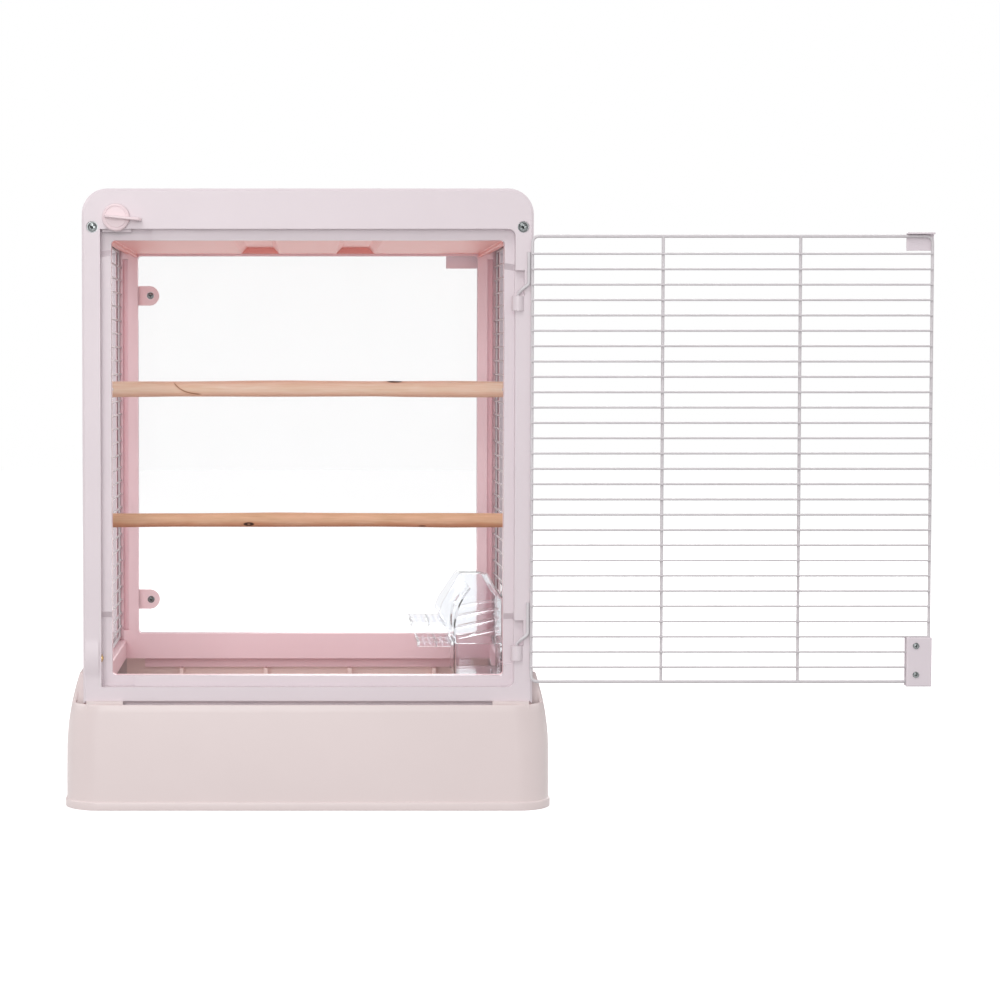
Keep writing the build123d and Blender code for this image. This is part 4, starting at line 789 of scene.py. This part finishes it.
# %% Tree for screws
def screw_tree():
    tree, board, given = open_tree("Screws", {
        "Count": "Int", "Spacing": "Vector", "Head radius": "Float", "Head height": "Float",
        "Shank radius": "Float", "Shank length": "Float", "Place": "Vector", "Turn": "Vector",
        "Material": "Material",
    })
    radius, height = given["Head radius"], given["Head height"]
    ball = board.node("GeometryNodeMeshUVSphere", None, {"Segments": 28, "Rings": 14, "Radius": 1.0})
    flatten = {"Geometry": ball, "Scale": xyz(board, radius, radius, height)}
    crown = board.node("GeometryNodeTransform", None, flatten)
    bars = []
    for long_way, short_way in ((1.1, 0.3), (0.3, 1.1)):
        bar = {"Size": xyz(board, radius * long_way, radius * short_way, height)}
        cube = board.node("GeometryNodeMeshCube", None, bar)
        lift = {"Geometry": cube, "Translation": xyz(board, 0.0, 0.0, height * 1.05)}
        bars.append(board.node("GeometryNodeTransform", None, lift))
    cut = {"Mesh 1": crown, "Mesh 2": bars}
    crossed = board.node("GeometryNodeMeshBoolean", {"operation": "DIFFERENCE"}, cut)
    band = board.node("GeometryNodeMeshCylinder", None, {
        "Vertices": 28, "Radius": radius, "Depth": height * 0.45,
    })
    band = board.node("GeometryNodeTransform", None, {
        "Geometry": band, "Translation": xyz(board, 0.0, 0.0, height * 0.225),
    })
    shank = board.node("GeometryNodeMeshCylinder", None, {
        "Vertices": 16, "Radius": given["Shank radius"], "Depth": given["Shank length"],
    })
    shank = board.node("GeometryNodeTransform", None, {
        "Geometry": shank, "Translation": xyz(board, 0.0, 0.0, given["Shank length"] * -0.5),
    })
    screw = board.node("GeometryNodeJoinGeometry", None, {"Geometry": [crossed, band, shank]})
    row = {"Count": given["Count"], "Start Location": (0, 0, 0), "Offset": given["Spacing"]}
    points = board.node("GeometryNodeMeshLine", None, row)
    screws = board.node("GeometryNodeInstanceOnPoints", None, {"Points": points, "Instance": screw})
    close_tree(board, [screws], given, sharp=math.radians(30))
    return tree


SCREW_TREE = screw_tree()
print("screw tree:", len(SCREW_TREE.nodes), "nodes")

# %% [markdown]
# Each group of screws is placed from the box of the CAD node that it stands for. A head faces the
# front or the rear, which is a quarter turn about X one way or the other, and the second screw of
# a pair lies up or across.

# %% Place the screws
SCREW_GROUPS = {
    "front_frame_screws": {"facing": -1, "head": (4.4, 2.4), "shank": 2.0, "row": X},
    "back_frame_screws": {"facing": 1, "head": (4.4, 2.4), "shank": 2.0, "row": X},
    "front_knob_screw": {"facing": 1, "head": (3.0, 2.0), "shank": 1.5, "row": None},
    "back_knob_screw": {"facing": -1, "head": (3.0, 2.0), "shank": 1.5, "row": None},
    "door_plate_screws": {"facing": -1, "head": (2.6, 1.6), "shank": 1.3, "row": Z},
    "rear_hinge_screws": {"facing": -1, "head": (3.3, 1.8), "shank": 1.5, "row": Z},
}


def place_screws(node, facing, head, shank, row):
    """A screw or a pair of screws whose heads look to the front (-1) or the rear (1)."""
    low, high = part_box(node)
    radius, height = head[0] * MM, head[1] * MM
    margin = (high.z - low.z) / 2 if row != Z else (high.x - low.x) / 2
    seat_y = high.y - height if facing > 0 else low.y + height
    start = Vector((low.x + margin, seat_y, low.z + margin))
    apart = Vector((0, 0, 0))
    if row is not None:
        apart[row] = high[row] - low[row] - 2 * margin
    turn = Euler((-facing * math.pi / 2, 0, 0))
    values = {
        "Count": 1 if row is None else 2, "Spacing": tuple(turn.to_matrix().inverted() @ apart),
        "Head radius": radius, "Head height": height, "Shank radius": shank * MM,
        "Shank length": high.y - low.y - height, "Place": tuple(start), "Turn": tuple(turn),
        "Material": STEEL_FINISH,
    }
    return grown(node + "_turned", SCREW_TREE, values, node)


for node, group in SCREW_GROUPS.items():
    place_screws(node, **group)
print("screws:", len(SCREW_GROUPS), "groups")

# %% [markdown]
# ## Turned pieces
# Knobs, washers and the brass catch are round about an axis. The easiest exact way to make such a
# piece is to draw half of its section as a few points and spin it. The lever on the knob is a thin
# fin across the disc, drawn as an outline, given its thickness and rounded with a Bevel modifier.

# %% Spin and outline helpers
SPIN_STEPS = 48


def spun(name, profile, axis_point, axis, steps=SPIN_STEPS):
    """A solid turned about an axis; the profile is (distance along it, radius)."""
    work = bmesh.new()
    turn = Vector((0, 0, 1)).rotation_difference(Vector(axis)).to_matrix().to_4x4()
    rings = []
    for along, radius in profile:
        if radius == 0:
            rings.append([work.verts.new((0, 0, along))])
            continue
        ring = []
        for step in range(steps):
            angle = 2 * math.pi * step / steps
            ring.append(work.verts.new((radius * math.cos(angle), radius * math.sin(angle), along)))
        rings.append(ring)
    for lower, upper in zip(rings, rings[1:]):
        for step in range(steps):
            following = (step + 1) % steps
            corners = [lower[step % len(lower)], lower[following % len(lower)]]
            corners += [upper[following % len(upper)], upper[step % len(upper)]]
            unique = [corner for number, corner in enumerate(corners) if corner not in corners[:number]]
            if len(unique) > 2:
                work.faces.new(unique)
    bmesh.ops.recalc_face_normals(work, faces=work.faces)
    bmesh.ops.transform(work, matrix=Matrix.Translation(axis_point) @ turn, verts=work.verts)
    mesh = bpy.data.meshes.new(name)
    for face in work.faces:
        face.smooth = True
    work.to_mesh(mesh)
    work.free()
    mesh.set_sharp_from_angle(angle=ROUNDED_ANGLE)
    return new_piece(name, mesh)


def outline(name, points, thickness, bevel, segments=3):
    """A flat outline in X and Z made solid along Y, with rounded edges."""
    work = bmesh.new()
    face = work.faces.new([work.verts.new((x, -thickness / 2, z)) for x, z in points])
    grown_face = bmesh.ops.extrude_face_region(work, geom=[face])
    moved = [item for item in grown_face["geom"] if isinstance(item, bmesh.types.BMVert)]
    bmesh.ops.translate(work, vec=(0, thickness, 0), verts=moved)
    bmesh.ops.recalc_face_normals(work, faces=work.faces)
    for item in work.faces:
        item.smooth = True
    mesh = bpy.data.meshes.new(name)
    work.to_mesh(mesh)
    work.free()
    piece = new_piece(name, mesh)
    rounded = piece.modifiers.new("Rounded edges", "BEVEL")
    rounded.width = bevel
    rounded.segments = segments
    rounded.limit_method = "ANGLE"
    piece.modifiers.new("Even light", "WEIGHTED_NORMAL")
    return baked(piece)


def joined(name, pieces):
    """Several pieces made one mesh."""
    work = bmesh.new()
    for piece in pieces:
        work.from_mesh(piece.data)
        bpy.data.objects.remove(piece)
    mesh = bpy.data.meshes.new(name)
    work.to_mesh(mesh)
    work.free()
    return new_piece(name, mesh)


print("turning: spun and outline")

# %% Knobs, washers and brass catches
KNOB = Vector((-156.7, -165.3, 486.3)) * MM
KNOB_TILT = math.radians(5.8)
KNOB_PROFILE = [
    (0, 0), (0, 5.0), (7.6, 5.0), (7.6, 0),
]
DISC_PROFILE = [
    (0, 0), (0, 11.3), (-2.2, 11.3), (-3.0, 10.9), (-3.4, 10.1), (-3.4, 9.4), (-2.9, 9.2), (-2.9, 8.4),
    (-3.4, 8.2), (-3.5, 0),
]
LEVER_OUTLINE = [
    (-9.6, 0.0), (-9.6, -5.6), (-8.2, -8.4), (-5.0, -10.4), (12.0, -10.9), (18.6, -10.2), (21.0, -8.2),
    (21.3, -4.0), (20.4, 0.0),
]


def scaled(profile):
    return [(along * MM, radius * MM) for along, radius in profile]


def lock_knob(name, node, half_turn):
    """Disc, lever and shaft of one turn knob."""
    disc = spun("disc", scaled(DISC_PROFILE), KNOB, (0, 1, 0))
    shaft = spun("shaft", scaled(KNOB_PROFILE), KNOB, (0, 1, 0))
    lever = outline("lever", [(x * MM, y * MM) for x, y in LEVER_OUTLINE], 2.4 * MM, 0.7 * MM)
    stand = Matrix.Rotation(math.pi / 2, 4, "X").inverted()
    tilt = Matrix.Rotation(KNOB_TILT, 4, "Y")
    lever.data.transform(Matrix.Translation(KNOB) @ tilt @ stand)
    knob = joined(name, [disc, shaft, lever])
    if half_turn:
        knob.data.transform(Matrix.Rotation(math.pi, 4, "Z"))
    return seat(knob, KNOB_FINISH, node)


def washer(name, node, half_turn):
    rim = [(0, 1.6), (0, 7.7), (0.3, 8.0), (0.9, 8.0), (1.2, 7.7), (1.2, 1.6), (0, 1.6)]
    start = KNOB + Vector((0, 7.6, 0)) * MM
    ring = spun(name, scaled(rim), start, (0, 1, 0))
    if half_turn:
        ring.data.transform(Matrix.Rotation(math.pi, 4, "Z"))
    return seat(ring, STEEL_FINISH, node)


def brass_catch(end, half_turn):
    """Sleeve and sprung ball of one catch, along X."""
    mouth = Vector((-169.6, -160.0, 124.0)) * MM
    sleeve_rim = [
        (0, 2.7), (0.15, 3.1), (0, 3.4), (-0.4, 3.4), (-10, 3.4), (-10, 0), (-9.4, 0), (-9.4, 2.65),
        (0, 2.65),
    ]
    sleeve = spun(end + "_sleeve_brass", scaled(sleeve_rim), mouth, (1, 0, 0), 32)
    nose = [
        (1.2 - 2.6 + 2.6 * math.sin(t), 2.6 * math.cos(t))
        for t in [math.pi / 2 * k / 8 for k in range(8)]
    ]
    ball = spun(
        end + "_ball_brass", scaled([(-8.2, 0), (-8.2, 2.6)] + nose + [(1.2, 0)]), mouth, (1, 0, 0), 32,
    )
    for piece in (sleeve, ball):
        if half_turn:
            piece.data.transform(Matrix.Rotation(math.pi, 4, "Z"))
    seat(sleeve, BRASS_FINISH, end + "_catch_sleeve")
    seat(ball, BRASS_FINISH, end + "_catch_ball")


for end, half_turn in (("front", False), ("back", True)):
    lock_knob(end + "_knob_turned", end + "_lock_knob", half_turn)
    washer(end + "_washer_turned", end + "_knob_washer", half_turn)
    brass_catch(end, half_turn)
print("turned pieces: two knobs, two washers, two catches")

# %% [markdown]
# ## Hinge rods
# The wire door hangs on two bent wires. Each is welded beside the door's edge, steps over and
# drops into a socket on the frame. A bent wire is a line of straight runs with an arc at each
# bend, so a helper cuts the corners with arcs and a curve with a round bevel gives the wire.

# %% Hinge rods
ROD_RADIUS = 1.4 * MM
ROD_BEND = 3.2 * MM


def with_arcs(points, radius, steps=6):
    """The same path with each corner replaced by an arc."""
    path = [points[0]]
    for before, corner, after in zip(points, points[1:], points[2:]):
        way_in, way_out = (corner - before).normalized(), (after - corner).normalized()
        half = way_in.angle(way_out) / 2
        cut = min(radius * math.tan(half), (corner - before).length * 0.48, (after - corner).length * 0.48)
        start, end = corner - way_in * cut, corner + way_out * cut
        for step in range(steps + 1):
            t = step / steps
            path.append(start * (1 - t) ** 2 + corner * 2 * t * (1 - t) + end * t ** 2)
    return path + [points[-1]]


def bent_wire(name, points, radius):
    """Round wire along a path, as a mesh."""
    curve = bpy.data.curves.new(name, "CURVE")
    curve.dimensions = "3D"
    curve.bevel_depth = radius
    curve.bevel_resolution = 4
    curve.use_fill_caps = True
    spline = curve.splines.new("POLY")
    spline.points.add(len(points) - 1)
    for point, place in zip(spline.points, points):
        point.co = (*place, 1)
    holder = new_piece(name + "_path", curve)
    bpy.context.view_layer.update()
    mesh = bpy.data.meshes.new_from_object(holder)
    bpy.data.objects.remove(holder)
    for face in mesh.polygons:
        face.use_smooth = True
    mesh.set_sharp_from_angle(angle=math.radians(50))
    return new_piece(name, mesh)


def hinge_rod(node):
    low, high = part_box(node)
    run_x = high.x - ROD_RADIUS
    knee = high.z - 34 * MM
    route = [
        (HINGE_X, -163.5 * MM, low.z), (HINGE_X, -163.5 * MM, knee),
        (HINGE_X + 3.6 * MM, door_y, knee + 4 * MM),
        (run_x, door_y, knee + 8 * MM), (run_x, door_y, high.z),
    ]
    rod = bent_wire(node + "_wire", with_arcs([Vector(point) for point in route], ROD_BEND), ROD_RADIUS)
    return seat(rod, WIRE_FINISH, node)


for level in ("lower", "upper"):
    hinge_rod("door_hinge_rod_" + level)
print("hinge rods: two")

# %% [markdown]
# ## The tub
# The tub is one moulding: a rounded rectangle that leans in as it rises, more at the sides than at
# the ends, with a foot bead, low end walls where the frames drop in and higher side walls between
# them. A ruled CAD solid can't show that soft lean, so the skin is built in columns. Each column
# runs up the outside, over the rounded rim and down the inside, and a formula gives how far the
# wall has come in at every height. Inside stand stepped ribs for the grate and the frames, guides
# beside the side walls, and two ledges that close the gap at the front corners.

# %% Tub skin
TUB_WIDTH, TUB_DEPTH, TUB_CORNER = 400 * MM, 350 * MM, 28 * MM
TUB_WALL, TUB_FLOOR, TUB_RIM = 2.8 * MM, 3 * MM, 111 * MM
LOW_RIM, LOW_FROM, LOW_ROUND = 86.6 * MM, 150 * MM, 5 * MM
SIDE_LEAN, SIDE_START, END_LEAN, END_POWER = 10.6 * MM, 0.42, 5.0 * MM, 1.4
RIM_ROLL = [(0.0, 1.3), (0.25, 0.55), (0.8, 0.1), (1.4, 0.0), (2.0, 0.1), (2.55, 0.55), (2.8, 1.3)]
FOOT_BEAD = [(0.6, 0.0), (1.1, 0.25), (1.2, 0.9), (1.2, 5.9), (1.0, 6.6), (0.5, 7.0), (0.0, 7.15)]
WALL_ROWS = 14
CORNER_STEPS = 14


def lean(height):
    """How far each side wall and each end wall has come in at a height."""
    share = height / TUB_RIM
    bend = max(0.0, share - SIDE_START) / (1 - SIDE_START)
    return SIDE_LEAN * bend ** 2, END_LEAN * share ** END_POWER


def rim_height(y):
    """The rim is high along the sides and low at the ends, with a round step between."""
    past = abs(y) - LOW_FROM
    if past < 0:
        return TUB_RIM
    if past > LOW_ROUND:
        return LOW_RIM
    return LOW_RIM + LOW_ROUND - math.sqrt(LOW_ROUND ** 2 - (LOW_ROUND - past) ** 2)


def wall_point(column, height, inset):
    """A point of the wall, where a column is (corner centre signs, angle, slide along y)."""
    sign_x, sign_y, angle, y_slide = column
    side_in, end_in = lean(height)
    reach_x = TUB_WIDTH / 2 - side_in - inset
    reach_y = TUB_DEPTH / 2 - end_in - inset
    corner = TUB_CORNER - inset
    x = sign_x * (reach_x - corner) + corner * math.cos(angle)
    y = sign_y * (reach_y - corner) + corner * math.sin(angle)
    return Vector((x, y if y_slide is None else y_slide, height))


def tub_columns():
    """Columns round the tub, counter-clockwise from the middle of the right side."""
    columns = []
    for quarter, (sign_x, sign_y) in enumerate(((1, 1), (-1, 1), (-1, -1), (1, -1))):
        for step in range(CORNER_STEPS + 1):
            columns.append((sign_x, sign_y, (quarter + step / CORNER_STEPS) * math.pi / 2, None))
    return columns


def tub_skin():
    work = bmesh.new()
    rings = []
    for column in tub_columns():
        top_y = wall_point(column, LOW_RIM, 0).y
        top = rim_height(top_y)
        rows = [(-out * MM, height * MM) for out, height in FOOT_BEAD]
        first = FOOT_BEAD[-1][1] * MM
        climb = top - RIM_ROLL[0][1] * MM - first
        rows += [(0, first + climb * row / WALL_ROWS) for row in range(1, WALL_ROWS)]
        rows += [(inset * MM, top - drop * MM) for inset, drop in RIM_ROLL]
        down = top - RIM_ROLL[-1][1] * MM
        fillet = 4 * MM
        rows += [
            (TUB_WALL, down - (down - TUB_FLOOR - fillet) * row / WALL_ROWS)
            for row in range(1, WALL_ROWS + 1)
        ]
        rows += [(TUB_WALL + fillet * 0.29, TUB_FLOOR + fillet * 0.29), (TUB_WALL + fillet, TUB_FLOOR)]
        rings.append([work.verts.new(wall_point(column, height, inset)) for inset, height in rows])
    for number, ring in enumerate(rings):
        following = rings[(number + 1) % len(rings)]
        for row in range(len(ring) - 1):
            work.faces.new((ring[row], following[row], following[row + 1], ring[row + 1]))
    work.faces.new([ring[0] for ring in reversed(rings)])
    work.faces.new([ring[-1] for ring in rings])
    bmesh.ops.recalc_face_normals(work, faces=work.faces)
    for face in work.faces:
        face.smooth = True
    mesh = bpy.data.meshes.new("tub_skin")
    work.to_mesh(mesh)
    work.free()
    mesh.set_sharp_from_angle(angle=math.radians(38))
    return new_piece("tub_skin", mesh)


RIB_XS, RIB_THICK = (-120, -40, 40, 120), 4 * MM
RIB_OUTLINE = [(132, 1.5), (132, 58), (152, 58), (152, 76.9), (171, 76.9), (171, 1.5)]


def tub_ribs():
    """Eight upright ribs inside the end walls, stepped to carry the grate and the frames' skirts."""
    ribs = []
    for x in RIB_XS:
        for end in (-1, 1):
            rib = outline("rib", [(y * MM, z * MM) for y, z in RIB_OUTLINE], RIB_THICK, 0.5 * MM, 2)
            turn = Matrix.Rotation(end * math.pi / 2, 4, "Z")
            rib.data.transform(Matrix.Translation((x * MM, 0, 0)) @ turn)
            ribs.append(rib)
    return ribs


GUIDE_OUTLINE = [
    (185.4, 58), (185.4, 108.6), (186.3, 110.0), (187.6, 110.2), (188.8, 109.0), (191.6, 98),
    (194.2, 86), (196.0, 58),
]


def tub_guides():
    """Four guides that close the gap between the side walls and the end frames."""
    guides = []
    for side in BOTH_SIDES:
        for end in BOTH_SIDES:
            guide = outline("guide", [(side * x * MM, z * MM) for x, z in GUIDE_OUTLINE], 4 * MM, 0.6 * MM)
            guide.data.transform(Matrix.Translation((0, end * 148.6 * MM, 0)))
            guides.append(guide)
    return guides


LEDGE_X, LEDGE_HALF = 167, 15
CORNER_LEDGES = [
    ((side * LEDGE_X - LEDGE_HALF, -168.6, 60), (side * LEDGE_X + LEDGE_HALF, -164, 89.2))
    for side in BOTH_SIDES
]
tub = joined("tub_moulding", [tub_skin(), *tub_ribs(), *tub_guides(), blocks("ledges", CORNER_LEDGES)])
seat(tub, TUB_FINISH, "base_tub")
print("tub: skin, eight ribs, four guides and two corner ledges")

# %% [markdown]
# ## The sticks
# A natural stick is never straight or round. Each one here is a row of rings along X whose centre
# wanders and whose radius swells, pushed about by smooth noise, with a low bump where a twig was
# cut. Near both ends a saw cut holds the stick on a wire of the side panel. The wood shows streaks
# along the grain, and its knots and one healed split are placed one by one where the photograph
# shows them.

# %% Wood finish
ROSY_PATCH, TAN_PATCH = shade(238, 186, 162), shade(220, 188, 146)
KNOT_HALO, KNOT_RING = shade(186, 126, 84), shade(60, 34, 20)
SPLIT_HALO, SPLIT_LINE = shade(206, 148, 108), shade(138, 82, 48)


def wood(name, light, dark, knots, split=None, seed=0.0, low=None):
    """Peeled wood: streaks along X, given knots, perhaps a healed split, painted underside shade."""
    material, board, shader = new_finish(name)
    place = board.place(shift=(seed, 0, 0))
    streaks = board.noise(board.place(stretch=(0.06, 1, 1), shift=(seed, 0, 0)), 1.6 * MM, 4)
    fibres = board.noise(board.place(stretch=(0.03, 1, 1), shift=(seed, 0, 0)), 0.35 * MM, 2)
    patches = board.noise(board.place(stretch=(0.35, 1, 1), shift=(seed, 0, 0)), 11 * MM, 2)
    blush = board.noise(board.place(stretch=(0.2, 1, 1), shift=(seed + 3, 0, 0)), 7 * MM, 1)
    grain = (streaks * 1.6 - 0.3).math("ADD", 0.0, clamp=True)
    colour = board.mix(grain, dark, light)
    colour = board.mix((patches * 1.8 - 0.65).math("ADD", 0.0, clamp=True) * 0.5, colour, ROSY_PATCH)
    colour = board.mix((blush * 2.2 - 0.9).math("ADD", 0.0, clamp=True) * 0.3, colour, TAN_PATCH)
    here = board.node("ShaderNodeTexCoord", out="Object")
    spread = board.node("ShaderNodeSeparateXYZ", None, {"Vector": here})
    # low gives a height and a colour: below that height the stick gets a painted darker, pinker shade.
    if low:
        painted_underside_shade = (spread.output("Z") + (patches - 0.5) * 6 * MM).within(low[0] + 1.5 * MM, 3 * MM)
        colour = board.mix(painted_underside_shade * 0.6, colour, low[1])
    scar = None
    for centre, reach, depth in knots:
        offset = board.node("ShaderNodeVectorMath", {"operation": "SUBTRACT"}, {0: here, 1: centre})
        squeezed = board.node("ShaderNodeVectorMath", {"operation": "DIVIDE"}, {0: offset, 1: reach})
        radius = board.node("ShaderNodeVectorMath", {"operation": "LENGTH"}, {0: squeezed}, "Value")
        halo = radius.within(2.6, 1.8) * 0.5
        ring = (radius - 0.8).size().within(0.62, 0.3)
        colour = board.mix(halo, colour, KNOT_HALO)
        colour = board.mix(ring * depth, colour, KNOT_RING)
        scar = ring if scar is None else scar + ring
    if split:
        start, bend, length, top, drop = split
        along = spread - start
        fall = ((along / -bend).math("EXPONENT") - 1) * drop
        apart = (spread.output("Z") - top - fall).size()
        reach = along.within(length, 4 * MM) * (-along).within(0.0, 1 * MM)
        mask = apart.within(0.6 * MM, 0.4 * MM) * reach
        colour = board.mix(apart.within(2.6 * MM, 2.4 * MM) * reach * 0.45, colour, SPLIT_HALO)
        colour = board.mix(mask * 0.85, colour, SPLIT_LINE)
        scar = mask if scar is None else scar + mask
    height = fibres * 0.5 + streaks - (scar * 3 if scar else 0.0)
    board.fill(shader, {
        "Base Color": colour,
        "Roughness": 0.62 + 0.14 * streaks,
        "Normal": board.bump(height, 0.09 * MM),
    })
    return material


# Each low= colour below is a painted shade, darker and pinker, on the stick's underside.
UPPER_WOOD = wood(
    "Upper stick wood", shade(252, 230, 212), shade(236, 200, 172),
    knots=[(Vector((77, 1.4, 351.0)) * MM, Vector((5.4, 2.2, 1.4)) * MM, 0.9)],
    split=(-118.5 * MM, 8.1 * MM, 25 * MM, 349.4 * MM, 10.8 * MM), seed=0.3,
    low=(340.5 * MM, shade(238, 184, 158)),
)
LOWER_WOOD = wood(
    "Lower stick wood", shade(220, 178, 146), shade(192, 146, 112),
    knots=[
        (Vector((-51.4, -39.4, 226.6)) * MM, Vector((3.6, 3.0, 1.3)) * MM, 1.0),
        (Vector((100, -38.5, 224.6)) * MM, Vector((2.6, 2.0, 0.8)) * MM, 0.5),
    ], seed=1.7, low=(227.5 * MM, shade(204, 132, 100)),
)
print("wood: two sticks' finishes")

# %% Sticks
STICK_RINGS, STICK_STEPS = 150, 28
KERF_DEPTH, KERF_HALF = 8.5 * MM, 1.25 * MM
SWELLS = (
    (-1.0, 1.0, 0.0), (-0.6, 0.95, 0.4), (-0.15, 1.02, 0.7), (0.3, 0.96, 0.5), (0.7, 1.03, 0.2),
    (1.0, 0.98, 0.0),
)


def eased(share):
    """Radius and bow of a stick at a share of its reach, smoothly between the CAD's stations."""
    for (x0, r0, b0), (x1, r1, b1) in zip(SWELLS, SWELLS[1:]):
        if share <= x1:
            t = (share - x0) / (x1 - x0)
            t = t * t * (3 - 2 * t)
            return r0 + (r1 - r0) * t, b0 + (b1 - b0) * t
    return SWELLS[-1][1:]


def stick(name, node, centre_z, centre_y, radius, kerf_z, finish, bumps, seed):
    low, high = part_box(node)
    reach = high.x
    work = bmesh.new()
    rings = []
    for number in range(STICK_RINGS + 1):
        x = -reach + 2 * reach * number / STICK_RINGS
        swell, bow = eased(x / reach)
        end_in = max(0.0, abs(x) / reach * STICK_RINGS / 2 - STICK_RINGS / 2 + 0.5)
        ring = []
        for step in range(STICK_STEPS):
            angle = 2 * math.pi * step / STICK_STEPS
            out = Vector((0, math.cos(angle), math.sin(angle)))
            rough = noise.noise(Vector((x * 28, out.y * 1.3 + seed, out.z * 1.3)))
            lump = sum(
                size * math.exp(-((x - spot) / (5 * MM)) ** 2)
                * max(0.0, out.dot(Vector((0, *aim)).normalized())) ** 6
                for spot, aim, size in bumps
            )
            wide = radius * swell * (0.985 + 0.022 * rough) - 0.5 * MM * end_in + lump
            ring.append(work.verts.new((x, centre_y + out.y * wide, centre_z + bow * MM + out.z * wide)))
        rings.append(ring)
    for first, second in zip(rings, rings[1:]):
        for step in range(STICK_STEPS):
            following = (step + 1) % STICK_STEPS
            work.faces.new((first[step], first[following], second[following], second[step]))
    work.faces.new(rings[0])
    work.faces.new(list(reversed(rings[-1])))
    bmesh.ops.recalc_face_normals(work, faces=work.faces)
    for face in work.faces:
        face.smooth = True
    mesh = bpy.data.meshes.new(name)
    work.to_mesh(mesh)
    work.free()
    piece = new_piece(name, mesh)
    cutters = []
    for side in (-1, 1):
        block = bmesh.new()
        size = Matrix.Diagonal((2 * KERF_DEPTH, 4 * radius, 2 * KERF_HALF, 1))
        cut_at = Matrix.Translation((side * reach, centre_y, kerf_z))
        bmesh.ops.create_cube(block, size=1, matrix=cut_at @ size)
        cutter_mesh = bpy.data.meshes.new("saw cut")
        block.to_mesh(cutter_mesh)
        block.free()
        cutter = new_piece("saw_cut", cutter_mesh)
        saw = piece.modifiers.new("Saw cut", "BOOLEAN")
        saw.operation = "DIFFERENCE"
        saw.object = cutter
        cutters.append(cutter)
    piece = baked(piece)
    for cutter in cutters:
        bpy.data.objects.remove(cutter)
    piece.data.set_sharp_from_angle(angle=math.radians(45))
    return seat(piece, finish, node)


stick("upper_stick", "upper_perch", 343.5 * MM, 4 * MM, 7.2 * MM, 343.5 * MM, UPPER_WOOD,
      [(75 * MM, (-0.1, 1.0), 0.25 * MM)], 0.0)
stick("lower_stick", "lower_perch", 229.55 * MM, -34 * MM, 6.3 * MM, 230.55 * MM, LOWER_WOOD,
      [(-51 * MM, (-0.85, -0.5), 0.3 * MM)], 5.0)
print("sticks: two")

# %% [markdown]
# ## The floor
# A plain pale floor, large enough that its far edge melts into the white world. It isn't part of
# the cage. A little glow lifts it to the same white, and it throws no light back up, as a floor
# that is dark off stage would.

# %% Floor
FLOOR_HALF = 6.0
FLOOR_TONE = (0.9, 0.9, 0.9, 1)
FLOOR_GLOW = 0.4

floor_material, floor_board, floor_shader = new_finish("Studio floor")
floor_board.fill(floor_shader, {
    "Base Color": FLOOR_TONE,
    "Roughness": 0.7 + 0.1 * floor_board.noise(floor_board.place(), 0.4, 2),
})
floor_mesh = bpy.data.meshes.new("floor")
quarters = ((-1, -1), (1, -1), (1, 1), (-1, 1))
corners = [(x * FLOOR_HALF, y * FLOOR_HALF, 0) for x, y in quarters]
floor_mesh.from_pydata(corners, [], [(0, 1, 2, 3)])
floor_mesh.materials.append(floor_material)
floor_shader.inputs["Emission Color"].default_value = (1, 1, 1, 1)
floor_shader.inputs["Emission Strength"].default_value = FLOOR_GLOW
floor = new_piece("floor", floor_mesh)
floor.visible_diffuse = False
floor.visible_transmission = False
print("floor: one plane")

# %% [markdown]
# ## Check and finish
# Any CAD node that still shows would carry only its plain imported colour, so the list is printed.

# %% Finish
bare = [name for name, node in frame["nodes"].items() if not node.hide_render]
print("CAD nodes still shown:", bare)
